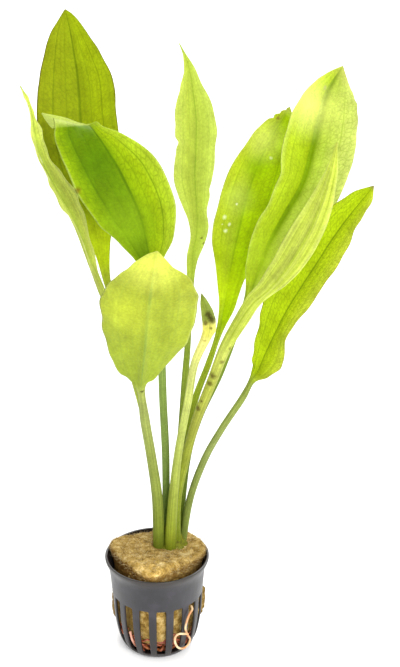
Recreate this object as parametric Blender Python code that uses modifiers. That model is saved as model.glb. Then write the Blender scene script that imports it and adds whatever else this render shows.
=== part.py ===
"""Amazon sword plant in a slotted net pot: the pot, a rockwool plug, the crown, ten leaves and roots."""
import math

import bmesh
import bpy
from mathutils import Vector

MM = 0.001
GAP = 0.3  # mm kept between pieces that touch

# Net pot, in millimetres
RIM_RADIUS = 26.2
POT_HEIGHT = 51.5
FLOOR_THICKNESS = 1.5
POT_STEPS = 48
# (radius, height) down the outer wall from the lip to the foot
POT_OUTSIDE = [
    (RIM_RADIUS, POT_HEIGHT - 0.4),
    (25.6, 49.0),
    (24.2, 46.0),
    (23.5, 41.0),
    (22.7, 31.0),
    (22.1, 20.0),
    (20.9, 12.0),
    (19.5, 6.0),
    (18.0, 3.0),
    (16.2, 1.0),
    (14.7, 0.0),
]
# (radius, height) up the inner wall from the floor to the lip
POT_INSIDE = [
    (13.2, FLOOR_THICKNESS),
    (15.2, 2.4),
    (16.8, 4.0),
    (18.4, 7.0),
    (19.7, 12.4),
    (20.9, 20.0),
    (21.6, 31.0),
    (22.4, 41.0),
    (23.2, 46.2),
    (24.7, 49.4),
    (25.4, POT_HEIGHT),
]
SLOT_COUNT = 16
FIRST_SLOT_ANGLE = 4.5  # degrees from the front towards the right
SLOT_TOP = 32.0
SLOT_FOOT = 3.4
SLOT_TOP_WIDTH = 4.8
SLOT_FOOT_WIDTH = 3.6
SLOT_INNER_RADIUS = 14.0
SLOT_OUTER_RADIUS = 26.0

# Rockwool plug, a square block pressed into the pot with one corner to the front. Each ring is (height,
# radius where it meets the pot, distance from the axis to its left, right and back flats).
PLUG_RINGS = [
    (9.0, 14.0, 14.0, 14.0, 14.0),
    (10.0, 18.0, 17.8, 17.6, 18.0),
    (20.0, 20.4, 19.4, 18.8, 20.2),
    (31.0, 21.1, 18.9, 17.9, 20.8),
    (42.0, 21.9, 17.2, 16.0, 20.8),
    (47.0, 22.9, 16.6, 15.3, 20.8),
    (50.6, 24.5, 16.2, 14.8, 20.4),
    (52.4, 25.3, 15.8, 14.4, 19.8),
    (53.5, 25.0, 15.4, 14.0, 19.2),
    (54.1, 23.6, 14.4, 13.0, 18.2),
]
PLUG_FLATS = (-56.0, 43.0, 180.0)  # turn from the front to the right of the left, right and back flats
PLUG_STEPS = 36
PLUG_TOP = 54.1

# Crown and the hole that it stands in
CROWN_CENTRE = (6.6, 8.2)
CROWN_HALF_WIDTH = 10.2
CROWN_HALF_DEPTH = 9.0
CROWN_FOOT = 39.5
CROWN_TOP = 50.5
CROWN_STEPS = 24

# Leaves
LEAF_CORNERS = 12
STALK_FOOT = CROWN_TOP + GAP + 0.1
BLADE_EDGE = 0.3  # half the thickness of a blade towards its edge
BLADE_TIP_RIB = 0.4  # half the thickness of the midrib at the tip
BLADE_WIDENS = 3.0  # mm of half-width over which a round stalk becomes a flat blade
RINGS_PER_STALK_STEP = 1.4
RINGS_PER_BLADE_STEP = 1.5

# Each leaf: the side it shows to the front, how far it turns about its midrib and how steeply its halves fold
# (degrees), its edge waves (mm and how many), how many stations are stalk, then its stations. A station is the
# midrib's x, y and z and the half-widths to the left and right of it, in millimetres.
LEAVES = {
    "leaf_back_left": ("upper", 0, 10, 1.2, 4.5, 6, [
        (3.0, 13.0, STALK_FOOT, 1.8, 1.8),
        (0.6, 17.0, 74.0, 1.8, 1.8),
        (-3.0, 25.5, 102.0, 1.8, 1.8),
        (-9.0, 33.5, 130.0, 1.7, 1.7),
        (-16.2, 38.8, 158.0, 1.7, 1.7),
        (-22.6, 42.5, 181.0, 1.8, 1.8),
        (-26.6, 49.0, 198.0, 3.4, 6.0),
        (-30.1, 57.0, 216.5, 11.0, 13.0),
        (-32.5, 65.0, 230.5, 17.5, 16.5),
        (-34.0, 72.0, 244.0, 21.0, 17.8),
        (-35.0, 78.5, 256.5, 21.3, 17.8),
        (-35.9, 85.5, 270.0, 20.0, 17.3),
        (-37.7, 92.5, 282.0, 15.6, 12.5),
        (-39.6, 98.0, 292.7, 9.6, 6.9),
        (-41.2, 101.5, 298.8, 3.6, 3.2),
        (-42.0, 103.0, 301.8, 0.2, 0.2),
    ]),
    "leaf_arched_left": ("upper", -4, 14, 0.8, 3.5, 6, [
        (4.6, 8.4, STALK_FOOT, 1.8, 1.8),
        (4.8, 7.5, 78.0, 1.8, 1.8),
        (4.8, 7.4, 105.0, 1.9, 1.9),
        (3.8, 6.8, 134.0, 1.9, 1.9),
        (3.2, 6.5, 160.0, 1.9, 1.9),
        (1.7, 8.5, 188.0, 2.0, 2.0),
        (-1.3, 11.0, 204.0, 5.4, 5.6),
        (-3.5, 13.5, 216.0, 12.0, 14.0),
        (-7.2, 16.5, 230.0, 20.0, 19.0),
        (-13.7, 21.5, 244.0, 22.6, 17.4),
        (-21.0, 27.5, 255.5, 22.3, 13.4),
        (-26.2, 33.0, 261.8, 20.4, 8.6),
        (-29.6, 38.5, 263.6, 18.8, 5.4),
        (-35.1, 45.0, 261.5, 15.4, 3.8),
        (-43.6, 52.0, 261.5, 7.4, 2.8),
        (-52.6, 58.0, 263.5, 0.2, 0.2),
    ]),
    "leaf_edge_left": ("upper", 74, 14, 0.8, 3.5, 6, [
        (0.6, 8.8, STALK_FOOT, 1.7, 1.7),
        (0.0, 9.0, 78.0, 1.6, 1.6),
        (-4.2, 13.0, 114.0, 1.5, 1.5),
        (-10.6, 18.0, 142.0, 1.5, 1.5),
        (-17.6, 21.0, 164.5, 1.5, 1.5),
        (-24.7, 23.0, 185.0, 1.8, 1.8),
        (-29.6, 25.0, 199.5, 4.0, 4.4),
        (-36.0, 28.0, 217.5, 9.0, 9.5),
        (-42.1, 30.5, 229.0, 12.0, 11.6),
        (-47.9, 33.5, 239.5, 13.5, 10.2),
        (-52.8, 36.5, 250.5, 13.0, 7.2),
        (-55.2, 40.0, 261.5, 10.6, 4.8),
        (-56.6, 43.5, 269.5, 7.0, 3.6),
        (-59.0, 46.5, 275.5, 3.5, 2.2),
        (-61.6, 49.0, 280.0, 0.2, 0.2),
    ]),
    "leaf_front_round": ("under", 0, -12, 0.9, 4.0, 5, [
        (1.0, 4.2, STALK_FOOT, 2.4, 2.4),
        (0.5, -0.5, 83.0, 2.4, 2.4),
        (-2.0, -8.5, 110.5, 2.4, 2.4),
        (-4.9, -18.0, 137.0, 2.3, 2.3),
        (-6.6, -29.0, 160.0, 2.2, 2.2),
        (-6.0, -33.0, 167.6, 9.2, 8.4),
        (-4.8, -39.0, 181.5, 17.0, 15.8),
        (-3.6, -44.0, 196.5, 20.6, 22.0),
        (-2.2, -48.0, 210.5, 21.2, 22.0),
        (-0.8, -51.0, 222.0, 15.6, 18.2),
        (0.3, -52.0, 230.0, 9.0, 9.4),
        (1.1, -51.0, 234.4, 4.6, 4.0),
        (1.6, -49.0, 236.3, 0.2, 0.2),
    ]),
    "leaf_back_centre": ("upper", 28, 12, 0.9, 3.5, 6, [
        (8.4, 10.6, STALK_FOOT, 1.8, 1.8),
        (9.8, 12.0, 84.0, 1.8, 1.8),
        (12.6, 15.0, 113.0, 1.7, 1.7),
        (14.6, 17.6, 140.0, 1.7, 1.7),
        (16.2, 20.5, 160.0, 1.5, 1.5),
        (17.3, 23.0, 183.0, 1.5, 1.5),
        (18.4, 26.0, 200.0, 3.0, 3.0),
        (20.7, 28.5, 213.0, 4.2, 6.2),
        (20.9, 31.5, 224.5, 8.0, 5.2),
        (20.1, 35.0, 238.0, 12.5, 8.6),
        (20.7, 39.0, 253.0, 13.2, 10.4),
        (20.8, 42.0, 265.0, 12.8, 9.6),
        (19.5, 44.5, 277.5, 9.8, 6.0),
        (17.9, 46.0, 287.5, 3.8, 3.2),
        (15.6, 47.0, 294.5, 0.9, 1.1),
        (13.1, 48.0, 300.2, 0.2, 0.2),
    ]),
    "leaf_stub": ("upper", 10, 30, 0.4, 1.5, 6, [
        (6.0, 2.2, STALK_FOOT, 2.0, 2.0),
        (8.2, -0.6, 83.0, 2.0, 2.0),
        (11.0, -3.2, 112.0, 2.0, 2.0),
        (15.6, -6.0, 141.0, 1.9, 1.9),
        (18.6, -6.9, 160.5, 1.9, 1.9),
        (24.0, -7.0, 174.5, 2.4, 2.4),
        (25.6, -7.0, 179.5, 3.8, 3.2),
        (24.7, -7.0, 186.0, 3.4, 3.6),
        (23.2, -7.5, 192.5, 2.0, 2.1),
        (21.9, -8.0, 197.7, 0.2, 0.2),
    ]),
    "leaf_right_inner": ("upper", 4, 10, 1.0, 4.0, 6, [
        (7.2, 14.6, STALK_FOOT, 1.7, 1.7),
        (10.6, 17.0, 83.0, 1.7, 1.7),
        (14.0, 21.5, 105.0, 1.7, 1.7),
        (20.4, 26.0, 127.0, 1.7, 1.7),
        (26.2, 29.4, 142.0, 1.6, 1.6),
        (31.3, 32.5, 157.0, 1.6, 1.6),
        (34.4, 36.0, 171.0, 2.8, 5.2),
        (37.4, 41.5, 187.0, 7.5, 8.5),
        (40.4, 45.5, 200.5, 12.4, 13.6),
        (43.8, 50.0, 215.0, 13.6, 16.8),
        (47.6, 54.0, 227.5, 12.8, 16.4),
        (52.8, 58.5, 239.5, 11.0, 14.8),
        (58.7, 62.5, 250.0, 7.9, 11.4),
        (63.6, 66.0, 256.8, 4.4, 6.6),
        (67.0, 68.0, 262.2, 0.2, 0.2),
    ]),
    "leaf_right_tall": ("upper", 10, 30, 1.0, 4.0, 6, [
        (11.2, 13.6, STALK_FOOT, 1.8, 1.8),
        (15.0, 13.8, 95.0, 1.8, 1.8),
        (21.2, 15.0, 120.0, 1.8, 1.8),
        (31.4, 16.6, 143.5, 1.8, 1.8),
        (39.3, 18.0, 166.0, 1.8, 1.8),
        (45.3, 20.5, 183.0, 2.0, 2.0),
        (50.1, 24.0, 195.5, 7.6, 8.0),
        (55.3, 27.5, 208.5, 12.6, 13.4),
        (62.9, 32.0, 221.5, 12.4, 19.0),
        (70.8, 37.5, 234.0, 15.5, 20.2),
        (75.2, 43.0, 247.5, 18.6, 21.0),
        (78.6, 49.0, 260.5, 17.4, 20.6),
        (82.2, 55.0, 271.5, 11.0, 17.2),
        (86.2, 58.5, 278.0, 5.6, 11.6),
        (91.4, 62.0, 284.3, 0.2, 0.2),
    ]),
    "leaf_right_front": ("under", -15, -15, 0.7, 3.0, 6, [
        (9.8, 6.2, STALK_FOOT, 2.2, 2.2),
        (10.3, 4.2, 81.0, 2.2, 2.2),
        (15.0, 2.4, 107.0, 2.2, 2.2),
        (19.8, -1.0, 128.0, 2.3, 2.3),
        (27.2, -7.0, 152.5, 2.5, 2.5),
        (33.0, -12.0, 172.0, 2.8, 2.8),
        (39.4, -16.0, 187.5, 2.9, 3.9),
        (45.5, -19.6, 199.0, 3.8, 3.8),
        (51.7, -22.0, 206.0, 5.2, 4.4),
        (60.1, -26.0, 218.5, 7.6, 6.2),
        (68.1, -30.5, 235.5, 8.2, 6.6),
        (72.7, -34.5, 250.0, 6.0, 5.7),
        (76.0, -38.5, 265.0, 3.0, 3.6),
        (77.6, -40.8, 275.5, 1.2, 1.6),
        (78.4, -42.0, 282.7, 0.2, 0.2),
    ]),
    "leaf_right_low": ("upper", -30, 14, 1.5, 4.0, 6, [
        (12.8, 9.8, STALK_FOOT, 1.8, 1.8),
        (16.7, 8.7, 78.0, 1.8, 1.8),
        (23.7, 8.3, 100.3, 1.8, 1.8),
        (32.2, 7.6, 118.0, 1.7, 1.7),
        (41.9, 6.6, 135.0, 1.7, 1.7),
        (46.6, 5.2, 145.5, 1.7, 1.7),
        (49.8, 5.0, 152.0, 4.0, 7.0),
        (52.7, 5.4, 159.5, 5.6, 11.0),
        (57.7, 6.2, 171.0, 9.6, 7.6),
        (62.8, 7.4, 181.5, 12.4, 8.0),
        (69.8, 8.8, 193.5, 12.2, 10.0),
        (76.6, 10.0, 204.5, 11.8, 10.2),
        (83.6, 11.2, 216.0, 11.0, 9.4),
        (90.9, 12.4, 226.5, 9.4, 7.0),
        (97.7, 13.6, 235.2, 5.4, 4.8),
        (102.4, 14.0, 241.5, 0.2, 0.2),
    ]),
}

# Roots: (turn from the front to the right in degrees, distance from the axis, height), in millimetres
ROOT_STEPS = 2  # tube points for each step along a route
LOOP_RADIUS = 0.7
LOOP_ROUTE = [
    (49.0, 21.9, 30.6),
    (46.5, 23.6, 29.4),
    (40.6, 23.9, 27.6),
    (37.2, 23.7, 24.0),
    (36.0, 23.2, 19.6),
    (40.5, 22.6, 15.0),
    (46.5, 22.0, 10.9),
    (45.0, 21.2, 7.4),
    (36.2, 21.0, 6.6),
    (27.2, 21.5, 8.8),
    (22.2, 22.3, 13.0),
    (22.0, 23.1, 16.8),
    (26.0, 23.8, 18.4),
    (32.0, 24.6, 18.0),
    (37.5, 25.0, 17.2),
]
SIDE_RADIUS = 0.6
LEFT_ROUTE = [
    (-43.0, 20.4, 16.0),
    (-41.5, 19.8, 11.5),
    (-39.5, 18.6, 8.0),
    (-40.5, 16.8, 5.6),
    (-50.0, 15.0, 4.6),
]
FRONT_ROUTE = [
    (-24.0, 15.4, 7.6),
    (-18.0, 17.6, 7.0),
    (-13.5, 15.4, 5.6),
    (-4.0, 15.0, 5.2),
    (4.5, 17.2, 5.8),
    (11.0, 15.4, 7.4),
]
COIL_RADIUS = 0.8
COIL_TURNS = 2.2
COIL_STEPS_PER_TURN = 12
COIL_START = (10.4, 7.0)  # distance from the axis and height
COIL_END = (13.4, 3.1)


def clear_scene():
    for thing in list(bpy.data.objects):
        bpy.data.objects.remove(thing, do_unlink=True)


def new_collection(name, hidden=False):
    collection = bpy.data.collections.new(name)
    collection.hide_render = hidden
    bpy.context.scene.collection.children.link(collection)
    return collection


def surface(name, colour, roughness):
    """A Principled material with one colour."""
    material = bpy.data.materials.new(name)
    material.use_nodes = True
    shader = material.node_tree.nodes["Principled BSDF"]
    shader.inputs["Base Color"].default_value = (*colour, 1.0)
    shader.inputs["Roughness"].default_value = roughness
    shader.inputs["Metallic"].default_value = 0.0
    return material


def new_object(name, bm, collection, material=None):
    mesh = bpy.data.meshes.new(name)
    bm.to_mesh(mesh)
    bm.free()
    thing = bpy.data.objects.new(name, mesh)
    collection.objects.link(thing)
    if material:
        mesh.materials.append(material)
        mesh.shade_smooth()
    return thing


def around(degrees, radius, height):
    """The point at a turn from the front towards the right, a distance from the pot's axis and a height."""
    angle = math.radians(degrees)
    return Vector((radius * math.sin(angle), -radius * math.cos(angle), height)) * MM


def through(rows, t):
    """The smooth curve through rows of numbers, where t is 0 at the first row and counts rows."""
    last = len(rows) - 1
    i = min(int(t), last - 1)
    f = t - i
    before, here, there, beyond = (rows[max(0, min(last, i + k))] for k in (-1, 0, 1, 2))
    return [
        0.5 * (2 * b + (c - a) * f + (2 * a - 5 * b + 4 * c - d) * f**2 + (3 * b - a - 3 * c + d) * f**3)
        for a, b, c, d in zip(before, here, there, beyond)
    ]


def loft(name, rings, collection, material):
    """One closed body through rings of equally many points, with its two ends capped."""
    bm = bmesh.new()
    loops = [[bm.verts.new(point) for point in ring] for ring in rings]
    for low, high in zip(loops, loops[1:]):
        for k in range(len(low)):
            after = (k + 1) % len(low)
            bm.faces.new((low[k], low[after], high[after], high[k]))
    bm.faces.new(reversed(loops[0]))
    bm.faces.new(loops[-1])
    bmesh.ops.recalc_face_normals(bm, faces=bm.faces)
    return new_object(name, bm, collection, material)


def cut(thing, cutter):
    boolean = thing.modifiers.new("cut", "BOOLEAN")
    boolean.operation = "DIFFERENCE"
    boolean.solver = "EXACT"
    boolean.object = cutter
    cutter.display_type = "WIRE"
    cutter.hide_render = True


def slot_cutters(collection):
    """One tapered block for each slot, set round the pot."""
    bm = bmesh.new()
    middle = 0.5 * (SLOT_INNER_RADIUS + SLOT_OUTER_RADIUS)
    for slot in range(SLOT_COUNT):
        turn = FIRST_SLOT_ANGLE + slot * 360 / SLOT_COUNT
        block = bmesh.ops.create_cube(bm, size=1.0)["verts"]
        for vert in block:
            top = vert.co.z > 0
            width = SLOT_TOP_WIDTH if top else SLOT_FOOT_WIDTH
            side = vert.co.x * width
            radius = middle - vert.co.y * (SLOT_OUTER_RADIUS - SLOT_INNER_RADIUS)
            out = around(turn, radius, SLOT_TOP if top else SLOT_FOOT)
            vert.co = out + around(turn + 90, side, 0)
    return new_object("slot_cutters", bm, collection)


def make_pot(collection, cutters):
    bm = bmesh.new()
    profile = [(0.0, FLOOR_THICKNESS), *POT_INSIDE, *POT_OUTSIDE, (0.0, 0.0)]
    points = [bm.verts.new((radius * MM, 0, height * MM)) for radius, height in profile]
    for first, second in zip(points, points[1:]):
        bm.edges.new((first, second))
    pot = new_object("net_pot", bm, collection, surface("black_plastic", (0.035, 0.035, 0.045), 0.45))
    turned = pot.modifiers.new("turned", "SCREW")
    turned.axis = "Z"
    turned.steps = turned.render_steps = POT_STEPS
    turned.use_merge_vertices = True
    turned.merge_threshold = 1e-6
    cut(pot, slot_cutters(cutters))


def plug_ring(height, radius, *flats):
    """One level outline of the plug: a circle cut by its flats."""
    points = []
    for step in range(PLUG_STEPS):
        turn = 360 * step / PLUG_STEPS
        reach = radius
        for facing, distance in zip(PLUG_FLATS, flats):
            towards = math.cos(math.radians(turn - facing))
            if towards > 0.1:
                reach = min(reach, distance / towards)
        points.append(around(turn, reach, height))
    return points


def oval(half_width, half_depth, height):
    """A level oval round the crown's middle."""
    x, y = CROWN_CENTRE
    turns = [2 * math.pi * step / CROWN_STEPS for step in range(CROWN_STEPS)]
    return [
        Vector((x + half_width * math.cos(a), y + half_depth * math.sin(a), height)) * MM for a in turns
    ]


def make_plug(collection, cutters):
    rings = [plug_ring(*ring) for ring in PLUG_RINGS]
    plug = loft("rockwool_plug", rings, collection, surface("rockwool", (0.52, 0.38, 0.13), 0.95))
    wide, deep = CROWN_HALF_WIDTH + GAP, CROWN_HALF_DEPTH + GAP
    hole = [oval(wide, deep, CROWN_FOOT - GAP), oval(wide, deep, PLUG_TOP + 5)]
    cut(plug, loft("plug_hole", hole, cutters, None))


def make_crown(collection):
    rings = [
        oval(CROWN_HALF_WIDTH - 3.0, CROWN_HALF_DEPTH - 3.0, CROWN_FOOT),
        oval(CROWN_HALF_WIDTH - 0.8, CROWN_HALF_DEPTH - 0.8, CROWN_FOOT + 2.0),
        oval(CROWN_HALF_WIDTH, CROWN_HALF_DEPTH, CROWN_FOOT + 5.0),
        oval(CROWN_HALF_WIDTH, CROWN_HALF_DEPTH, CROWN_TOP),
    ]
    loft("crown", rings, collection, surface("rootstock", (0.45, 0.32, 0.14), 0.7))


def leaf_frame(stations, turn, t):
    """The midrib's point, the direction to the leaf's right, its front and its half-widths at t."""
    x, y, z, left, right = through(stations, t)
    last = len(stations) - 1
    ahead = Vector(through(stations, min(last, t + 0.05))[:3])
    behind = Vector(through(stations, max(0, t - 0.05))[:3])
    along = (ahead - behind).normalized()
    side = (Vector((1, 0, 0)) - along * along.x).normalized()
    front = side.cross(along)
    angle = math.radians(turn)
    turned_side = side * math.cos(angle) - front * math.sin(angle)
    turned_front = side * math.sin(angle) + front * math.cos(angle)
    return Vector((x, y, z)), turned_side, turned_front, max(left, 0.2), max(right, 0.2)


def leaf_ring(leaf, t, widest):
    """The leaf's section at t: a round stalk that flattens into two thin halves either side of a midrib."""
    shows, turn, fold, wave, waves, stalk, stations = leaf
    middle, side, front, left, right = leaf_frame(stations, turn, t)
    blade = max(0.0, t - (stalk - 1)) / (len(stations) - stalk)
    stalk_radius = stations[stalk - 1][3]
    rib = left if blade == 0 else stalk_radius * (1 - blade) + BLADE_TIP_RIB * blade
    flat = min(1.0, max(0.0, (max(left, right) - rib) / BLADE_WIDENS))
    spread = min(1.0, 0.5 * (left + right) / (0.6 * widest))
    tilt = math.radians(fold) * flat * spread
    ripple = wave * math.sin(2 * math.pi * waves * blade) * spread * flat
    points = []
    for corner in range(LEAF_CORNERS):
        angle = 2 * math.pi * corner / LEAF_CORNERS
        across, through_it = math.cos(angle), math.sin(angle)
        half = right if across > 0 else left
        edge = abs(across)
        keel_side = (through_it > 0) == (shows == "under")
        thick_rib = rib if keel_side else rib * (1 - flat) + BLADE_EDGE * flat
        thick_rib = max(thick_rib, BLADE_EDGE)
        thin = BLADE_EDGE + (thick_rib - BLADE_EDGE) * (1 - edge) ** 2
        thick = thick_rib * (1 - flat) + thin * flat
        lift = edge * half * math.sin(tilt) + math.copysign(ripple, across) * edge**2
        out = across * half * math.cos(tilt)
        points.append((middle + side * out + front * (lift + through_it * min(thick, max(half, 0.2)))) * MM)
    return points


def make_leaf(name, leaf, collection, material):
    stalk, stations = leaf[5:]
    widest = max(0.5 * (station[3] + station[4]) for station in stations)
    last = len(stations) - 1
    stalk_rings = round((stalk - 1) * RINGS_PER_STALK_STEP)
    blade_rings = round((last - stalk + 1) * RINGS_PER_BLADE_STEP)
    steps = [(stalk - 1) * i / stalk_rings for i in range(stalk_rings)]
    steps += [stalk - 1 + (last - stalk + 1) * i / blade_rings for i in range(blade_rings + 1)]
    loft(name, [leaf_ring(leaf, t, widest) for t in steps], collection, material)


def make_root(name, points, radius, collection, material):
    """A tube through the points, smoothed along its route, with closed ends."""
    steps = (len(points) - 1) * ROOT_STEPS
    route = [through(points, step / ROOT_STEPS) for step in range(steps + 1)]
    curve = bpy.data.curves.new(name, "CURVE")
    curve.dimensions = "3D"
    curve.bevel_depth = radius * MM
    curve.bevel_resolution = 1
    curve.use_fill_caps = True
    spline = curve.splines.new("POLY")
    spline.points.add(len(route) - 1)
    for point, place in zip(spline.points, route):
        point.co = (*place, 1.0)
    curve.materials.append(material)
    collection.objects.link(bpy.data.objects.new(name, curve))


def coil_route():
    """The roots that circle on the pot's floor, wider and lower as they go round."""
    steps = round(COIL_TURNS * COIL_STEPS_PER_TURN)
    route = []
    for step in range(steps + 1):
        share = step / steps
        radius = COIL_START[0] + (COIL_END[0] - COIL_START[0]) * share
        height = COIL_START[1] + (COIL_END[1] - COIL_START[1]) * share
        route.append(around(360 * COIL_TURNS * share, radius, height))
    return route


def main():
    clear_scene()
    plant = new_collection("potted_sword_plant")
    cutters = new_collection("cutters", hidden=True)
    make_pot(plant, cutters)
    make_plug(plant, cutters)
    make_crown(plant)
    green = surface("leaf", (0.42, 0.58, 0.03), 0.5)
    for name, leaf in LEAVES.items():
        make_leaf(name, leaf, plant, green)
    pale = surface("root", (0.62, 0.36, 0.2), 0.6)
    for name, route in (("root_loop", LOOP_ROUTE), ("root_left", LEFT_ROUTE), ("root_front", FRONT_ROUTE)):
        radius = LOOP_RADIUS if name == "root_loop" else SIDE_RADIUS
        make_root(name, [around(*point) for point in route], radius, plant, pale)
    make_root("root_coil", coil_route(), COIL_RADIUS, plant, pale)


main()
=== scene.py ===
"""Amazon sword plant in a slotted net pot: the dressed model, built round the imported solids."""
import math
import random

import bmesh
import bpy
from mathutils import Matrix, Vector, noise


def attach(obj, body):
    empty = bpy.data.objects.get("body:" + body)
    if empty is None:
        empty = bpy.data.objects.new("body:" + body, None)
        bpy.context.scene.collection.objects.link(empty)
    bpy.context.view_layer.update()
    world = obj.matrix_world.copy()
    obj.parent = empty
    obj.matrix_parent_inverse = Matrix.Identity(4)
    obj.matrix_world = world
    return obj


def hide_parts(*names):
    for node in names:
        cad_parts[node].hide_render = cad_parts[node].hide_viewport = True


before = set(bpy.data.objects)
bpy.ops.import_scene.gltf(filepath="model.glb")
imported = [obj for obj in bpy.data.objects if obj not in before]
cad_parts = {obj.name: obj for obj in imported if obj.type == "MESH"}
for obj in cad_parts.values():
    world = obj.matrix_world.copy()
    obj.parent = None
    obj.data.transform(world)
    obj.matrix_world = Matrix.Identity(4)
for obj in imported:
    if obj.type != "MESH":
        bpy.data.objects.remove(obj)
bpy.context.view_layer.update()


# Camera, floor and light: a bright white studio table. The lens looks down a little on the plant, and light
# from behind and above shines through the leaves.
LENS_HEIGHT, LENS_BACK = 0.534, 0.759  # metres from the pot's foot
LOOKS_DOWN, LOOKS_RIGHT = 25.4, 1.62  # degrees
FOCAL_PIXELS, FRAME_PIXELS, FILM_MM = 1785.0, 667.0, 36.0
TABLE_HALF_WIDTH, WORLD_STRENGTH = 4.0, 1.05

lens = bpy.data.cameras.new("studio_camera")
lens.sensor_width = FILM_MM
lens.lens = FOCAL_PIXELS / FRAME_PIXELS * FILM_MM
camera = bpy.data.objects.new("studio_camera", lens)
camera.location = (0.0, -LENS_BACK, LENS_HEIGHT)
camera.rotation_euler = (math.radians(90 - LOOKS_DOWN), 0.0, math.radians(-LOOKS_RIGHT))
bpy.context.scene.collection.objects.link(camera)
bpy.context.scene.camera = camera
bpy.context.scene.view_settings.view_transform = "Standard"
bpy.context.scene.view_settings.look = "None"


def linear(colour):
    """A colour written as sRGB hex, or a grey number, as the renderer's linear numbers."""
    if not isinstance(colour, str):
        return (colour, colour, colour, 1.0)
    channels = [int(colour[i:i + 2], 16) / 255 for i in (0, 2, 4)]
    return (*[c / 12.92 if c <= 0.04045 else ((c + 0.055) / 1.055) ** 2.4 for c in channels], 1.0)


def add(tree, kind, settings, inputs):
    """Adds a shader node. A ramp's stops are (place, hex colour or grey number). An input is a value, a hex
    colour, a node whose first output feeds it, or (node, output)."""
    made = tree.nodes.new("ShaderNode" + kind)
    for name, value in settings.items():
        if name == "stops":
            stops = made.color_ramp.elements
            for stop, (at, tone) in zip(stops, (value[0], value[-1])):
                stop.position, stop.color = at, linear(tone)
            for at, tone in value[1:-1]:
                stops.new(at).color = linear(tone)
        else:
            setattr(made, name, value)
    for name, value in inputs.items():
        if isinstance(value, bpy.types.Node):
            value = (value, 0)
        if isinstance(value, tuple) and isinstance(value[0], bpy.types.Node):
            tree.links.new(value[0].outputs[value[1]], made.inputs[name])
        else:
            made.inputs[name].default_value = linear(value) if isinstance(value, str) else value
    return made


def new_finish(name):
    """An empty material, its node tree, and the place on the piece that its patterns read."""
    finish = bpy.data.materials.new(name)
    finish.use_nodes = True
    finish.node_tree.nodes.clear()
    return finish, finish.node_tree, (add(finish.node_tree, "TexCoord", {}, {}), "Object")


def put(name, data):
    """A new object of the scene, at its origin."""
    thing = bpy.data.objects.new(name, data)
    bpy.context.scene.collection.objects.link(thing)
    return thing


def new_piece(name, bm, finish):
    """Turns a finished bmesh into a smooth-shaded object."""
    mesh = bpy.data.meshes.new(name)
    bm.to_mesh(mesh)
    bm.free()
    mesh.shade_smooth()
    mesh.materials.append(finish)
    return put(name, mesh)


paper, tree, _ = new_finish("white_studio_paper")
# Matt white paper, so bright that it has no edge and shows only the pot's faint shade.
sheet = add(tree, "BsdfDiffuse", {}, {"Color": "FFFFFF"})
add(tree, "OutputMaterial", {}, {"Surface": sheet})
bm = bmesh.new()
bmesh.ops.create_grid(bm, x_segments=1, y_segments=1, size=TABLE_HALF_WIDTH)
table = new_piece("studio_table", bm, paper)

world = bpy.data.worlds.new("white_studio")
world.use_nodes = True
world.node_tree.nodes["Background"].inputs["Color"].default_value = linear("FFFFFF")
world.node_tree.nodes["Background"].inputs["Strength"].default_value = WORLD_STRENGTH
bpy.context.scene.world = world


def lamp(name, place, aim, size, watts):
    """A round studio lamp, size metres across, that shines towards aim."""
    light = bpy.data.lights.new(name, "AREA")
    light.shape = "DISK"
    light.size = size
    light.energy = watts
    thing = put(name, light)
    thing.location = place
    thing.rotation_euler = (Vector(aim) - Vector(place)).to_track_quat("-Z", "Y").to_euler()


LAMPS_AIM = (0.0, 0.0, 0.2)
lamp("back_lamp", (0.35, 1.1, 1.2), LAMPS_AIM, 0.9, 14.0)
lamp("front_lamp", (0.5, -1.3, 0.9), LAMPS_AIM, 1.0, 22.0)


# Net pot: one injection-moulded cup of dark blue-grey polypropylene with a flared lip and sixteen slots, on
# a flat foot. The wall is spun round, the slots are left out of it, and then it gets its thickness.
POT_WALL_MM = 1.15
POT_SLOTS, SLOT_PARTS, RIB_PARTS = 16, 6, 5
FIRST_SLOT = 4.5  # degrees from the front towards the right
SLOT_FOOT, SLOT_HEAD = 3.4, 32.0
# (radius, height) of the wall's outside in millimetres, from the middle of the foot to the lip
POT_PROFILE = [
    (0.0, 0.0), (7.0, 0.0), (13.1, 0.0), (14.7, 0.0), (15.6, 0.5), (16.3, 1.1), (17.3, 2.1),
    (18.0, SLOT_FOOT - 0.4), (18.2, SLOT_FOOT), (19.5, 6.0), (20.3, 9.0), (20.9, 12.0), (21.6, 16.0),
    (22.1, 20.0), (22.45, 25.0), (22.65, 29.5), (22.75, SLOT_HEAD), (22.8, SLOT_HEAD + 0.3), (23.15, 36.5),
    (23.5, 41.0), (23.9, 44.4), (24.2, 46.0), (24.8, 47.8), (25.5, 49.2), (25.9, 50.4), (26.0, 51.2),
    (26.0, 51.5),
]

bm = bmesh.new()
steps = POT_SLOTS * (SLOT_PARTS + RIB_PARTS)
step_angle = 360 / steps
turn = math.radians(FIRST_SLOT - SLOT_PARTS / 2 * step_angle)
wall = []
for radius, height in POT_PROFILE:
    x, y = radius * math.sin(turn), -radius * math.cos(turn)
    wall.append(bm.verts.new((x / 1000, y / 1000, height / 1000)))
edges = [bm.edges.new(pair) for pair in zip(wall, wall[1:])]
bmesh.ops.spin(
    bm, geom=wall + edges, cent=(0, 0, 0), axis=(0, 0, 1), angle=2 * math.pi, steps=steps, use_merge=True,
)
bmesh.ops.remove_doubles(bm, verts=bm.verts, dist=1e-6)
openings = []
for face in bm.faces:
    middle = face.calc_center_median() * 1000
    part = math.degrees(math.atan2(middle.x, -middle.y) - turn) / step_angle % (SLOT_PARTS + RIB_PARTS)
    if part < SLOT_PARTS and SLOT_FOOT < middle.z < SLOT_HEAD:
        openings.append(face)
bmesh.ops.delete(bm, geom=openings, context="FACES")
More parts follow.
